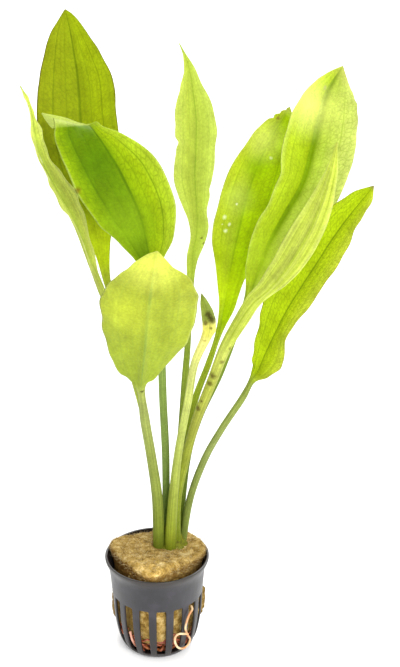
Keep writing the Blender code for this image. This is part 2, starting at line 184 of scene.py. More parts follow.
bmesh.ops.recalc_face_normals(bm, faces=bm.faces)

TINT = {"data_type": "RGBA"}
SOFTLY = {"interpolation_type": "SMOOTHSTEP"}
moulded, tree, here = new_finish("moulded_polypropylene")
# Polypropylene, moulded with a fine satin skin: grey where the studio's light grazes it, with faint flow
# marks 2 mm apart that run up the wall and a dull bloom of dried water in patches of 8 mm. Painted shade
# darkens the lip and the wall towards the foot to a dark brown.
flow = add(tree, "Mapping", {}, {"Vector": here, "Scale": (1.0, 1.0, 0.12)})
marks = add(tree, "TexNoise", {}, {"Vector": flow, "Scale": 520.0, "Detail": 3.0})
bloom = add(tree, "TexNoise", {}, {"Vector": here, "Scale": 130.0, "Detail": 5.0})
tint = add(tree, "ValToRGB", {
    "stops": [(0.3, "161418"), (0.5, "1D1B21"), (0.72, "302D34")],
}, {"Fac": (bloom, "Fac")})
place = add(tree, "SeparateXYZ", {}, {"Vector": here})
level = add(tree, "Math", {"operation": "MULTIPLY_ADD"}, {0: (bloom, "Fac"), 1: 0.006, 2: (place, "Z")})
# Painted shade: a dark brown band on the lip, and dark brown that deepens towards the foot.
painted_lip_shade = add(tree, "MapRange", SOFTLY, {"Value": level, 1: 0.0485, 2: 0.0535, 3: 0.0, 4: 0.9})
painted_foot_shade = add(tree, "MapRange", SOFTLY, {"Value": level, 1: 0.008, 2: 0.036, 3: 0.7, 4: 0.0})
painted_shade_bands = add(tree, "Math", {"operation": "ADD", "use_clamp": True}, {0: painted_lip_shade, 1: painted_foot_shade})
shaded_tint = add(tree, "Mix", TINT, {0: painted_shade_bands, 6: (tint, "Color"), 7: "1E1712"})
dull = add(tree, "MapRange", {}, {"Value": (bloom, "Fac"), 1: 0.3, 2: 0.7, 3: 0.33, 4: 0.48})
grain = add(tree, "Bump", {}, {"Height": (marks, "Fac"), "Strength": 0.25, "Distance": 0.0002})
plastic = add(tree, "BsdfPrincipled", {}, {
    "Base Color": (shaded_tint, 2), "Roughness": dull, "IOR": 1.49, "Specular IOR Level": 0.6, "Normal": grain,
})
add(tree, "OutputMaterial", {}, {"Surface": plastic})

pot = new_piece("net_pot_moulding", bm, moulded)
thickness = pot.modifiers.new("wall", "SOLIDIFY")
thickness.thickness = POT_WALL_MM / 1000
thickness.offset = -1.0
rounding = pot.modifiers.new("rounding", "SUBSURF")
rounding.levels = rounding.render_levels = 1
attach(pot, "root")
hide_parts("net_pot")


# Rockwool: a square block of spun mineral fibre, damp and golden brown, pressed into the pot with one
# corner to the front. Its cut top is ragged and lies a little above the lip, and the plant stands in it.
WOOL_FLATS = (-56.0, 43.0, -164.0)  # the way each flat faces, in degrees from the front towards the right
# (height, radius where the block meets the pot, distance from the axis to each of the three flats)
WOOL_RINGS = [
    (9.0, 14.0, 14.0, 14.0, 14.0),
    (10.0, 18.0, 17.8, 17.6, 18.0),
    (20.0, 20.4, 19.4, 18.8, 20.2),
    (31.0, 21.1, 18.9, 17.9, 20.8),
    (42.0, 21.9, 17.6, 16.6, 20.4),
    (47.0, 22.9, 17.4, 16.4, 20.0),
    (50.6, 24.4, 17.4, 16.2, 19.4),
    (52.4, 25.2, 17.2, 16.0, 18.8),
    (53.7, 25.2, 17.0, 15.8, 18.4),
]
WOOL_FOOT, WOOL_TOP = 9.1, 54.5
WOOL_SHOULDER = 3.6
WOOL_LEANS = 0.075  # how far the top falls for each mm towards the right
CLUMP_CENTRE, CLUMP_HALF_WIDTH, CLUMP_HALF_DEPTH = (6.6, 8.2), 9.6, 8.6
CLUMP_DIP = 0.2
WOOL_IN_POT = 50.5  # below this height the pot's wall holds the wool in
WOOL_CRISPNESS = 9.0  # a high power keeps the corners crisp, and rounds them a little
WOOL_FILLS = 1.045  # makes up for what the rounding takes away
WOOL_CLEARANCE, FOOT_CLEARANCE, WALL_CLEARANCE = 0.2, 1.2, 0.25
# (height in mm, how many to the mm, where in the noise) of the cut top's lumps and of its torn fibres
WOOL_LUMPS = [(0.55, 0.11, (0, 0, 0)), (0.4, 0.3, (7, 0, 0))]
WOOL_TEARS = [(0.36, 0.6, (0, 0, 0)), (0.30, 1.3, (3, 1, 9)), (0.20, 2.6, (1, 8, 2))]
# how far the wool is pressed out through each slot, from the sixth one left of the front slot and round to
# the right; the slot without a bulge has the looped root in it
WOOL_BULGES = [1.6, 2.6, 2.7, 0.6, -0.6, -0.3, 0.2, -0.4, 0.0, 1.4, 2.9, 2.4, 1.2, 1.0, 0.6, 0.8]
LEFTMOST_BULGE = -6
# (start, end) of the change at a bulge's foot and head, as heights, and at its sides, as degrees
BULGE_FOOT, BULGE_HEAD, BULGE_SIDE = (10.0, 17.0), (29.5, 32.5), (2.2, 6.0)
WOOL_COLUMNS, WOOL_ROWS = 300, 220


def smooth(start, end, value):
    """Rises from 0 to 1 between start and end."""
    share = min(1.0, max(0.0, (value - start) / (end - start)))
    return share * share * (3 - 2 * share)


def outward(turn):
    """The way out from the pot's axis, turned in degrees from the front towards the right."""
    angle = math.radians(turn)
    return Vector((math.sin(angle), -math.cos(angle), 0.0))


def wool_reach(turn, height):
    """How far the block reaches from the pot's axis, in millimetres."""
    low = max(i for i, ring in enumerate(WOOL_RINGS[:-1]) if i == 0 or ring[0] <= height)
    share = min(1.0, max(0.0, (height - WOOL_RINGS[low][0]) / (WOOL_RINGS[low + 1][0] - WOOL_RINGS[low][0])))
    radius, *flats = (a + (b - a) * share for a, b in zip(WOOL_RINGS[low][1:], WOOL_RINGS[low + 1][1:]))
    total = radius ** -WOOL_CRISPNESS
    for facing, distance in zip(WOOL_FLATS, flats):
        towards = math.cos(math.radians(turn - facing))
        if towards > 0.1:
            total += (towards / distance) ** WOOL_CRISPNESS
    reach = total ** (-1 / WOOL_CRISPNESS) * WOOL_FILLS
    in_slot = smooth(*BULGE_FOOT, height) * (1 - smooth(*BULGE_HEAD, height))
    for number, out in enumerate(WOOL_BULGES, LEFTMOST_BULGE):
        slot = FIRST_SLOT + 360 / POT_SLOTS * number
        off = abs((turn - slot + 180) % 360 - 180)
        reach += out * in_slot * (1 - smooth(*BULGE_SIDE, off))
    return reach


def uneven(place, layers):
    """Noise in mm at a place, as the sum of layers of (height, how many to the mm, where in the noise)."""
    return sum(height * noise.noise(place * to_the_mm + Vector(start)) for height, to_the_mm, start in layers)


def wool_point(turn, along):
    """A point of the block, in metres: along runs from 0 at the middle of its foot up the flank to 1 at the
    middle of its top."""
    out = outward(turn)
    foot_share, flank_share, shoulder_share = 0.10, 0.54, 0.64
    top_reach = wool_reach(turn, WOOL_TOP - WOOL_SHOULDER) - WOOL_CLEARANCE
    shoulder = WOOL_SHOULDER * (1 - 0.55 * smooth(20.0, 25.0, top_reach))
    shoulder_foot = WOOL_TOP - shoulder
    if along < foot_share:
        foot_reach = wool_reach(turn, WOOL_FOOT + 0.3) - FOOT_CLEARANCE
        place = out * foot_reach * (along / foot_share) + Vector((0, 0, WOOL_FOOT))
        level = 0.0
    elif along < flank_share:
        height = WOOL_FOOT + (shoulder_foot - WOOL_FOOT) * (along - foot_share) / (flank_share - foot_share)
        place = out * (wool_reach(turn, height) - WOOL_CLEARANCE) + Vector((0, 0, height))
        level = 0.0
    elif along < shoulder_share:
        bend = math.pi / 2 * (along - flank_share) / (shoulder_share - flank_share)
        place = out * (top_reach - shoulder * (1 - math.cos(bend)))
        place.z = shoulder_foot + shoulder * math.sin(bend)
        level = math.sin(bend)
    else:
        inward = (along - shoulder_share) / (1 - shoulder_share)
        place = out * (top_reach - shoulder) * (1 - inward) + Vector((0, 0, WOOL_TOP))
        across = (place.x - CLUMP_CENTRE[0]) / CLUMP_HALF_WIDTH
        deep = (place.y - CLUMP_CENTRE[1]) / CLUMP_HALF_DEPTH
        place.z -= CLUMP_DIP * (1 - smooth(0.8, 1.12, math.hypot(across, deep)))
        level = 1.0
    lumps, torn = uneven(place, WOOL_LUMPS), uneven(place, WOOL_TEARS)
    in_pot = WALL_CLEARANCE if place.z < WOOL_IN_POT and along > foot_share else 0.0
    roughness = (1 - level) * min(1.0, along / foot_share)
    place += out * ((torn + 0.4 * lumps) * roughness - in_pot)
    place.z += (torn + lumps) * level
    place.z -= WOOL_LEANS * max(0.0, place.x + 3.0) * smooth(45.0, 52.0, place.z)
    return place / 1000


def new_sheet(bm, columns, rows):
    """A flat sheet to wrap round: each of its points, with its share of the way round and of the way up."""
    for vert in bmesh.ops.create_grid(bm, x_segments=columns, y_segments=rows, size=0.5)["verts"]:
        yield vert, vert.co.x + 0.5, vert.co.y + 0.5


def close_seams(bm):
    """Merges the edges and the ends of wrapped sheets, and turns their faces outwards."""
    bmesh.ops.remove_doubles(bm, verts=bm.verts, dist=1e-7)
    bmesh.ops.recalc_face_normals(bm, faces=bm.faces)


bm = bmesh.new()
for vert, around_it, up in new_sheet(bm, WOOL_COLUMNS, WOOL_ROWS):
    vert.co = wool_point(360 * around_it, up)
close_seams(bm)

MULTIPLY = {"data_type": "RGBA", "blend_type": "MULTIPLY"}
mineral_wool, tree, here = new_finish("damp_mineral_wool")
# Mineral wool, spun into matted fibres about 0.01 mm thick, drawn here in clumps of 4 mm and streaks of
# 1.6 mm, coarse enough to see. Damp and golden, with painted light that brightens its front corner,
# painted shade that darkens it in the slots, and browner down its flanks above the lip, most on the left.
clumps = add(tree, "TexNoise", {}, {"Vector": here, "Scale": 260.0, "Detail": 6.0, "Roughness": 0.62})
matting = add(tree, "TexNoise", {}, {
    "Vector": here, "Scale": 620.0, "Detail": 5.0, "Roughness": 0.8, "Distortion": 2.0,
})
gold = add(tree, "ValToRGB", {
    "stops": [(0.25, "58421E"), (0.42, "977C3E"), (0.55, "BDA160"), (0.75, "ECDCA8")],
}, {"Fac": (clumps, "Fac")})
specks = add(tree, "ValToRGB", {
    "stops": [(0.3, "6E5C40"), (0.47, "D4CCB8"), (0.62, "FFFFFF")],
}, {"Fac": (matting, "Fac")})
streaked = add(tree, "Mix", MULTIPLY, {0: 0.75, 6: (gold, "Color"), 7: (specks, "Color")})
geometry = add(tree, "NewGeometry", {}, {})
faces_up = add(tree, "SeparateXYZ", {}, {"Vector": (geometry, "Normal")})
place = add(tree, "SeparateXYZ", {}, {"Vector": here})
upward = add(tree, "MapRange", SOFTLY, {"Value": (faces_up, "Z"), 1: 0.0, 2: 0.7, 3: 1.0, 4: 0.0})
above_lip = add(tree, "MapRange", {}, {"Value": (place, "Z"), 1: 0.035, 2: 0.046, 3: 0.25, 4: 1.0})
from_left = add(tree, "MapRange", {}, {"Value": (place, "X"), 1: -0.016, 2: 0.004, 3: 0.9, 4: 0.62})
# Painted light brightens the front corner, and painted shade darkens the wool low in the slots.
painted_front_light = add(tree, "MapRange", {}, {"Value": (place, "Y"), 1: -0.004, 2: -0.020, 3: 1.0, 4: 1.75})
painted_slot_shade = add(tree, "MapRange", {}, {"Value": (place, "Z"), 1: 0.033, 2: 0.042, 3: 0.68, 4: 1.0})
painted_light_and_shade = add(tree, "Math", {"operation": "MULTIPLY"}, {0: painted_front_light, 1: painted_slot_shade})
painted_lit_wool = add(tree, "Mix", MULTIPLY, {0: 1.0, 6: (streaked, 2), 7: painted_light_and_shade})
# Browner where the block faces sideways above the lip, most on the left.
flank = add(tree, "Math", {"operation": "MULTIPLY"}, {0: upward, 1: above_lip})
flank_brown_share = add(tree, "Math", {"operation": "MULTIPLY"}, {0: flank, 1: from_left})
flank_browned = add(tree, "Mix", TINT, {0: flank_brown_share, 6: (painted_lit_wool, 2), 7: "6E4814"})
pits = add(tree, "Bump", {}, {"Height": (matting, "Fac"), "Strength": 0.9, "Distance": 0.0006})
wool = add(tree, "BsdfPrincipled", {}, {
    "Base Color": (flank_browned, 2), "Roughness": 0.95, "Specular IOR Level": 0.15, "Normal": pits,
})
add(tree, "OutputMaterial", {}, {"Surface": wool})

block = new_piece("rockwool_block", bm, mineral_wool)
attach(block, "root")
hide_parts("rockwool_plug")

# Loose fibres that stand out of the wool's top and edges, each a tapering strand drawn thick enough to show.
FIBRES, FIBRE_SIDES, FIBRE_STEPS = 1500, 3, 5
FIBRE_RADIUS, SHORTEST_FIBRE, LONGEST_FIBRE = 0.085, 1.0, 3.0
LOWEST_FIBRE, FIBRE_SPREAD = 0.52, 0.36  # shares of the way up the block
chance = random.Random(5)
bm = bmesh.new()
for fibre in range(FIBRES):
    root_turn, root_along = chance.uniform(-180, 180), LOWEST_FIBRE + FIBRE_SPREAD * chance.random() ** 1.4
    foot = wool_point(root_turn, root_along) * 1000
    way = (outward(root_turn) * (1.2 if root_along < 0.62 else 0.25) + Vector((
        chance.uniform(-1, 1), chance.uniform(-1, 1), chance.uniform(0.1, 0.9),
    ))).normalized()
    curl = Vector((chance.uniform(-1, 1), chance.uniform(-1, 1), chance.uniform(-1.2, 0.1)))
    length = chance.uniform(SHORTEST_FIBRE, LONGEST_FIBRE)
    for vert, around_it, up in new_sheet(bm, FIBRE_SIDES, FIBRE_STEPS):
        angle = 2 * math.pi * around_it
        middle = foot + (way * up + curl * 0.35 * up * up) * length - way * 0.2
        round_it = Vector((math.cos(angle), math.sin(angle), 0.3 * math.sin(angle)))
        ends = 0.0 if up < 0.01 or up > 0.99 else 1.0
        vert.co = (middle + round_it * FIBRE_RADIUS * (1.15 - up) * ends) / 1000
close_seams(bm)


def two_tone(name, scale, detail, stops, surface):
    """A finish that drifts between two colours from place to place."""
    skin, tree, here = new_finish(name)
    drift = add(tree, "TexNoise", {}, {"Vector": here, "Scale": scale, "Detail": detail})
    colour = add(tree, "ValToRGB", {"stops": stops}, {"Fac": (drift, "Fac")})
    body = add(tree, "BsdfPrincipled", {}, {"Base Color": (colour, "Color"), **surface})
    add(tree, "OutputMaterial", {}, {"Surface": body})
    return skin


# The same mineral fibre, dry and pale where single strands catch the light.
loose_wool = two_tone("loose_wool_fibre", 400.0, 2.0, [(0.35, "9C7E48"), (0.65, "E0CB94")], {
    "Roughness": 0.7,
})

fuzz = new_piece("loose_wool_fibres", bm, loose_wool)
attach(fuzz, "root")


# Crown: the short fleshy rootstock that every stalk grows from, sunk in the rockwool. Above the wool it
# narrows to a cone of olive sheaths, wrapped round one another, that fills the space between the stalks.
CROWN_CENTRE, CROWN_HALF_WIDTH, CROWN_HALF_DEPTH = CLUMP_CENTRE, CLUMP_HALF_WIDTH, 8.5
# (height, share of the width) from the foot of the crown to the tip of the inner sheaths
CROWN_PROFILE = [
    (39.6, 0.55), (41.0, 0.86), (44.5, 0.98), (50.0, 0.98), (52.6, 0.86), (55.5, 0.68), (59.5, 0.5),
    (64.0, 0.36), (68.0, 0.24), (70.5, 0.10),
]
SHEATHS, SHEATH_FOLD, SHEATH_TWIST = 7, 0.09, 0.03
SHEATHS_START = (46.0, 54.0)  # heights between which their folds deepen
CROWN_COLUMNS, CROWN_ROWS = 84, 60

bm = bmesh.new()
for vert, around_it, up in new_sheet(bm, CROWN_COLUMNS, CROWN_ROWS):
    turn, way = 2 * math.pi * around_it, up * (len(CROWN_PROFILE) - 1)
    low = min(int(way), len(CROWN_PROFILE) - 2)
    height, share = (
        a + (b - a) * (way - low) for a, b in zip(CROWN_PROFILE[low], CROWN_PROFILE[low + 1])
    )
    fold = abs(math.sin(0.5 * SHEATHS * turn + SHEATH_TWIST * height))
    folds = 1 + SHEATH_FOLD * fold * smooth(*SHEATHS_START, height)
    ends = 0.0 if way < 0.001 or way > len(CROWN_PROFILE) - 1.001 else 1.0
    vert.co = Vector((
        CROWN_CENTRE[0] + math.cos(turn) * CROWN_HALF_WIDTH * share * folds * ends,
        CROWN_CENTRE[1] + math.sin(turn) * CROWN_HALF_DEPTH * share * folds * ends,
        height,
    )) / 1000
close_seams(bm)

# Living plant tissue, olive and fibrous, with the dull sheen of something kept wet.
rootstock_skin = two_tone("rootstock_tissue", 700.0, 4.0, [(0.3, "4A4C10"), (0.7, "74781C")], {
    "Roughness": 0.7, "Specular IOR Level": 0.1,
})

rootstock = new_piece("rootstock", bm, rootstock_skin)
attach(rootstock, "root")
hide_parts("crown")


# Back left leaf: the tallest on this side, seen from its upper face. Every leaf is one living sheet: a round
# stalk that flattens into a thin blade, with a midrib, three pairs of curved side veins and a waved margin.
LEAF_FOOT = 50.9
ROUND_COLUMNS, STALK_ROWS, BLADE_ROWS = 96, 44, 130
BLADE_WIDENS = 3.0  # mm of half-width over which a round stalk becomes a flat blade
BLADE_HALF_THICKNESS, RIB_AT_TIP = 0.26, 0.3
VEINS = ((0.31, 0.028), (0.62, 0.026))  # share of the half-width where a vein runs, and its width
VEIN_DEPTH, GROOVE_DEPTH, GROOVE_HALF_WIDTH = 0.20, 0.3, 0.9
FRILL = 0.05  # share of the half-width by which the margin is uneven
SWELLS, RIPPLES = (0.34, 0.16), (0.12, 0.5)  # mm high, and how many to the mm, of a blade's unevenness


def through(rows, t):
    """The smooth curve through rows of numbers, where t is 0 at the first row and counts rows."""
    last = len(rows) - 1
    i = min(int(t), last - 1)
    f = t - i
    before, here, there, beyond = (rows[max(0, min(last, i + k))] for k in (-1, 0, 1, 2))
    return [
        0.5 * (2 * b + (c - a) * f + (2 * a - 5 * b + 4 * c - d) * f**2 + (3 * b - a - 3 * c + d) * f**3)
        for a, b, c, d in zip(before, here, there, beyond)
    ]


def leaf_section(stations, stalk, turn, t):
    """The midrib's place at t, the ways to the leaf's right and front, its half-widths, and the share of
    the blade that lies below it."""
    last = len(stations) - 1
    x, y, z, left, right = through(stations, t)
    ahead = Vector(through(stations, min(last, t + 0.05))[:3])
    behind = Vector(through(stations, max(0, t - 0.05))[:3])
    along = (ahead - behind).normalized()
    side = (Vector((1, 0, 0)) - along * along.x).normalized()
    front = side.cross(along)
    angle = math.radians(turn)
    blade = max(0.0, t - (stalk - 1)) / (last - stalk + 1)
    return (
        Vector((x, y, z)),
        side * math.cos(angle) - front * math.sin(angle),
        side * math.sin(angle) + front * math.cos(angle),
        max(left, 0.05), max(right, 0.05), blade,
    )


def leaf_point(section, column, leaf, widest, nicks):
    """A point of the leaf: column runs from 0 at its right margin over its front, and back behind it to 1."""
    middle, side, front, left, right, blade = section
    shows, fold, wave, waves, rib_start = leaf
    rib = left if blade == 0 else rib_start * (1 - blade) + RIB_AT_TIP * blade
    flat = smooth(0.0, BLADE_WIDENS, max(left, right) - rib)
    spread = min(1.0, 0.5 * (left + right) / (0.6 * widest))
    angle = 2 * math.pi * column
    on_front = column <= 0.5
    across = 1 - 4 * column if on_front else 4 * column - 3
    across = math.cos(angle) * (1 - flat) + across * flat
    half = right if across > 0 else left
    for hand, place, depth, reach in nicks:
        if hand * across > 0:
            half -= depth * math.exp(-(((blade - place) / reach) ** 2)) * flat
    half = max(half, 0.05)
    edge = abs(across)
    frill = 1 + flat * edge * FRILL * noise.noise(Vector((blade * 14, 4.0 if across > 0 else 9.0, widest)))
    tilt = math.radians(fold) * flat * spread
    hand = math.copysign(1.0, across)
    lift = (math.sqrt(edge * edge + 0.002) - 0.045) * half * math.sin(tilt)
    lift += hand * wave * math.sin(2 * math.pi * waves * blade) * spread * flat * edge**2
    lift += 0.4 * wave * math.sin(2 * math.pi * 2.6 * waves * blade + hand) * spread * flat * edge**3
    under = -1.0 if shows == "upper" else 1.0
    fade = flat * spread
    for place, width in VEINS:
        lift += under * VEIN_DEPTH * fade * math.exp(-(((edge - place) / width) ** 2))
    spot = middle + side * across * half
    lift += SWELLS[0] * fade * edge * noise.noise(spot * SWELLS[1])
    lift += RIPPLES[0] * fade * noise.noise(spot * RIPPLES[1])
    thin = BLADE_HALF_THICKNESS * math.sqrt(max(0.0, 1 - edge**10)) * (1 - 0.45 * edge)
    outer = 1.0 if on_front else -1.0
    inside = 1 - edge**8  # brings the two faces together at the margin
    keel = rib * math.exp(-((across * half / (0.75 * rib + 0.25)) ** 2)) * inside
    keel = keel if outer == under else 0.0
    groove = GROOVE_DEPTH * min(rib, 1.0) * math.exp(-((across * half / GROOVE_HALF_WIDTH) ** 2)) * inside
    groove = groove if outer != under else 0.0
    thick = math.sin(angle) * rib * (1 - flat) + outer * (thin + keel - groove) * flat
    return (middle + side * across * half * frill * math.cos(tilt) + front * (lift + thick)) / 1000


# Each station of a leaf is (x, y, height, half-width to the left, half-width to the right) in millimetres.
def grow_leaf(name, shows, turn, fold, wave, waves, stalk, stations, skin, nicks=()):
    """One leaf as a closed sheet: rows run up it and columns go round it. It shows its upper or under side,
    turned and folded by degrees, with waves of wave mm on its blade, and its first few stations are its
    stalk's. Each nick is (1 for the right margin or -1 for the left, its place on the blade, its depth in
    mm, its reach along the blade). The pattern's second coordinate is 0 to 1 on the stalk and 1 to 2 on the
    blade."""
    bm = bmesh.new()
    pattern = bm.loops.layers.uv.new("leaf")
    rows = STALK_ROWS + BLADE_ROWS
    last = len(stations) - 1
    rib_start = stations[stalk - 1][3]
    widest = max(0.5 * (station[3] + station[4]) for station in stations)
    sections, places = {}, {}
    for vert, column, up in new_sheet(bm, ROUND_COLUMNS, rows):
        row = round(up * rows)
        if row not in sections:
            if row <= STALK_ROWS:
                way = max(0, row - 1) / (STALK_ROWS - 1)
                t = (stalk - 1) * way
            else:
                share = (row - STALK_ROWS) / BLADE_ROWS
                t, way = stalk - 1 + (last - stalk + 1) * share, 1 + share
            sections[row] = (leaf_section(stations, stalk, turn, t), way)
        section, way = sections[row]
        point = leaf_point(section, column, (shows, fold, wave, waves, rib_start), widest, nicks)
        if row in (0, rows):
            point = section[0] / 1000
        across = 1 - 4 * column if column <= 0.5 else 4 * column - 3
        places[vert] = (point, (0.5 + 0.5 * across, way))
    for face in bm.faces:
        for loop in face.loops:
            loop[pattern].uv = places[loop.vert][1]
    for vert in bm.verts:
        vert.co = places[vert][0]
    close_seams(bm)
    piece = new_piece(name + "_grown", bm, skin)
    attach(piece, "root")
    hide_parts(name)


LIGHT_THROUGH = 0.42  # share of the light that a blade lets through
NO_SHADE = [(0.0, "FFFFFF"), (1.0, "FFFFFF")]


def leaf_skin(name, across, stalk, vein, along=NO_SHADE, midrib=0.8, side_veins=0.4, net=0.3, margin="E4EC90",
              edging=0.5, blade_stripes=0.25, tip=(1.9, 2.0, "B0A860", 0.3), light_and_shade_patches=(), spots_and_glints=()):
    """Thin wet plant tissue, satin above and glowing where the light comes through. Across and stalk are
    ramps of colours, from the left margin to the right one and from the stalk's foot to the blade, and
    along darkens the blade from its foot to its tip. Midrib, side_veins, net and edging say how strongly
    each is drawn. The tip tint is (where on the pattern it starts, where it is full, its colour, its
    strength): a leaf's own tint towards its tip, and on the arched leaf a painted highlight on its crest.
    Each spot or glint is (its place in mm, its radius in mm, its colour): spots are the leaf's own marks and
    pale glints are painted highlights. Each soft patch is (its place in mm, its radius in mm, its colour),
    a pool of painted light or a patch of painted shade."""
    skin, tree, here = new_finish(name)
    pattern = add(tree, "UVMap", {"uv_map": "leaf"}, {})
    sway = add(tree, "TexNoise", {}, {"Vector": here, "Scale": 55.0, "Detail": 2.0})
    split = add(tree, "SeparateXYZ", {}, {"Vector": (pattern, "UV")})
    swayed = add(tree, "Math", {"operation": "MULTIPLY_ADD"}, {0: (sway, "Fac"), 1: 0.024, 2: -0.012})
    crossways = add(tree, "Math", {"operation": "ADD"}, {0: (split, "X"), 1: swayed})
    centred = add(tree, "Math", {"operation": "MULTIPLY_ADD"}, {0: crossways, 1: 2.0, 2: -1.0})
    from_rib = add(tree, "Math", {"operation": "ABSOLUTE"}, {0: centred})
    up_blade = add(tree, "Math", {"operation": "SUBTRACT"}, {0: (split, "Y"), 1: 1.0})
    base = add(tree, "ValToRGB", {"stops": across}, {"Fac": crossways})
    shade = add(tree, "ValToRGB", {"stops": along}, {"Fac": up_blade})
    blade = add(tree, "Mix", MULTIPLY, {0: 1.0, 6: (base, "Color"), 7: (shade, "Color")})
    # veins: a midrib, three pairs of side veins and a net of cross veins about 2 mm apart
    lines = add(tree, "ValToRGB", {"stops": [
        (0.0, midrib), (0.022, 0.8 * midrib), (0.05, 0.0),
        (0.28, 0.0), (0.31, 0.55 * side_veins), (0.335, 0.0),
        (0.59, 0.0), (0.62, side_veins), (0.65, 0.0),
        (0.83, 0.0), (0.85, 0.5 * side_veins), (0.87, 0.0), (1.0, 0.0),
    ]}, {"Fac": from_rib})
    slant = add(tree, "Math", {"operation": "MULTIPLY_ADD"}, {0: from_rib, 1: -0.10, 2: (split, "Y")})
    net_place = add(tree, "CombineXYZ", {}, {"X": centred, "Y": slant})
    net_scale = add(tree, "Mapping", {}, {"Vector": net_place, "Scale": (7.0, 56.0, 1.0)})
    meshes = add(tree, "TexVoronoi", {"voronoi_dimensions": "2D", "feature": "DISTANCE_TO_EDGE"}, {
        "Vector": net_scale, "Scale": 1.0, "Randomness": 0.85,
    })
    net_lines = add(tree, "MapRange", {}, {"Value": (meshes, "Distance"), 1: 0.02, 2: 0.13, 3: net, 4: 0.0})
    drawn = add(tree, "Math", {"operation": "MAXIMUM"}, {0: (lines, "Color"), 1: net_lines})
    veined = add(tree, "Mix", TINT, {0: drawn, 6: (blade, 2), 7: vein})
    # Soft patches of painted light and painted shade: paler where more light falls, darker where shade falls.
    for place, radius, colour in light_and_shade_patches:
        away = add(tree, "VectorMath", {"operation": "DISTANCE"}, {
            0: here, 1: [value / 1000 for value in place],
        })
        painted_patch = add(tree, "MapRange", SOFTLY, {
            "Value": (away, "Value"), 1: 0.0, 2: 0.0015 * radius, 3: 0.75, 4: 0.0,
        })
        veined = add(tree, "Mix", TINT, {0: painted_patch, 6: (veined, 2), 7: colour})
    # A tint towards the tip; on the arched leaf it is a painted highlight on the crest and beyond it.
    tip_or_crest_share = add(tree, "MapRange", SOFTLY, {
        "Value": (split, "Y"), 1: tip[0], 2: tip[1], 3: 0.0, 4: tip[3],
    })
    veined = add(tree, "Mix", TINT, {0: tip_or_crest_share, 6: (veined, 2), 7: tip[2]})
    rim = add(tree, "MapRange", SOFTLY, {"Value": from_rib, 1: 0.945, 2: 0.985, 3: 0.0, 4: edging})
    edged = add(tree, "Mix", TINT, {0: rim, 6: (veined, 2), 7: margin})
    # the stalk's own colours, from its foot to the blade, and the stripes of fibre that run up it
    stem = add(tree, "ValToRGB", {"stops": stalk}, {"Fac": (split, "Y")})
    on_blade = add(tree, "MapRange", {}, {"Value": (split, "Y"), 1: 0.97, 2: 1.06, 3: 0.0, 4: 1.0})
    whole = add(tree, "Mix", TINT, {0: on_blade, 6: (stem, "Color"), 7: (edged, 2)})
    fibre_place = add(tree, "Mapping", {}, {"Vector": (pattern, "UV"), "Scale": (15.0, 2.5, 1.0)})
    fibres = add(tree, "TexNoise", {"noise_dimensions": "2D"}, {
        "Vector": fibre_place, "Scale": 1.0, "Detail": 3.0, "Roughness": 0.6,
    })
    stripes = add(tree, "MapRange", {}, {"Value": (fibres, "Fac"), 1: 0.3, 2: 0.7, 3: 0.76, 4: 1.24})
    striped_share = add(tree, "MapRange", {}, {
        "Value": (split, "Y"), 1: 0.97, 2: 1.1, 3: 1.0, 4: blade_stripes,
    })
    striped = add(tree, "Mix", MULTIPLY, {0: striped_share, 6: (whole, 2), 7: stripes})
    # mottling in patches of 5 to 10 mm, and a grain of cells drawn about 1 mm across
    patches = add(tree, "TexNoise", {}, {"Vector": here, "Scale": 130.0, "Detail": 3.0, "Roughness": 0.6})
    mottle = add(tree, "MapRange", {}, {"Value": (patches, "Fac"), 1: 0.3, 2: 0.7, 3: 0.88, 4: 1.12})
    cells = add(tree, "TexNoise", {}, {"Vector": here, "Scale": 1000.0, "Detail": 2.0})
    grain = add(tree, "MapRange", {}, {"Value": (cells, "Fac"), 1: 0.3, 2: 0.7, 3: 0.90, 4: 1.10})
    tone = add(tree, "Math", {"operation": "MULTIPLY"}, {0: mottle, 1: grain})
    last = add(tree, "Mix", MULTIPLY, {0: 1.0, 6: (striped, 2), 7: tone})
    # The leaf's own spots, and pale glints that are painted highlights.
    for place, radius, colour in spots_and_glints:
        away = add(tree, "VectorMath", {"operation": "DISTANCE"}, {
            0: here, 1: [value / 1000 for value in place],
        })
        ragged = add(tree, "Math", {"operation": "MULTIPLY_ADD"}, {
            0: (cells, "Fac"), 1: 0.0012, 2: (away, "Value"),
        })
        mark = add(tree, "MapRange", SOFTLY, {
            "Value": ragged, 1: 0.0006 + 0.0002 * radius, 2: 0.0006 + 0.0016 * radius, 3: 0.85, 4: 0.0,
        })
        last = add(tree, "Mix", TINT, {0: mark, 6: (last, 2), 7: colour})
    relief = add(tree, "Math", {"operation": "MULTIPLY_ADD"}, {0: drawn, 1: -0.6, 2: (cells, "Fac")})
    bump = add(tree, "Bump", {}, {"Height": relief, "Strength": 0.5, "Distance": 0.0002})
    surface = add(tree, "BsdfPrincipled", {}, {
        "Base Color": (last, 2), "Roughness": 0.48, "Specular IOR Level": 0.22, "Specular Tint": "D8F060",
        "Normal": bump,
    })
    glow = add(tree, "BsdfTranslucent", {}, {"Color": (last, 2)})
    both = add(tree, "MixShader", {}, {0: LIGHT_THROUGH, 1: surface, 2: glow})
    add(tree, "OutputMaterial", {}, {"Surface": both})
    return skin


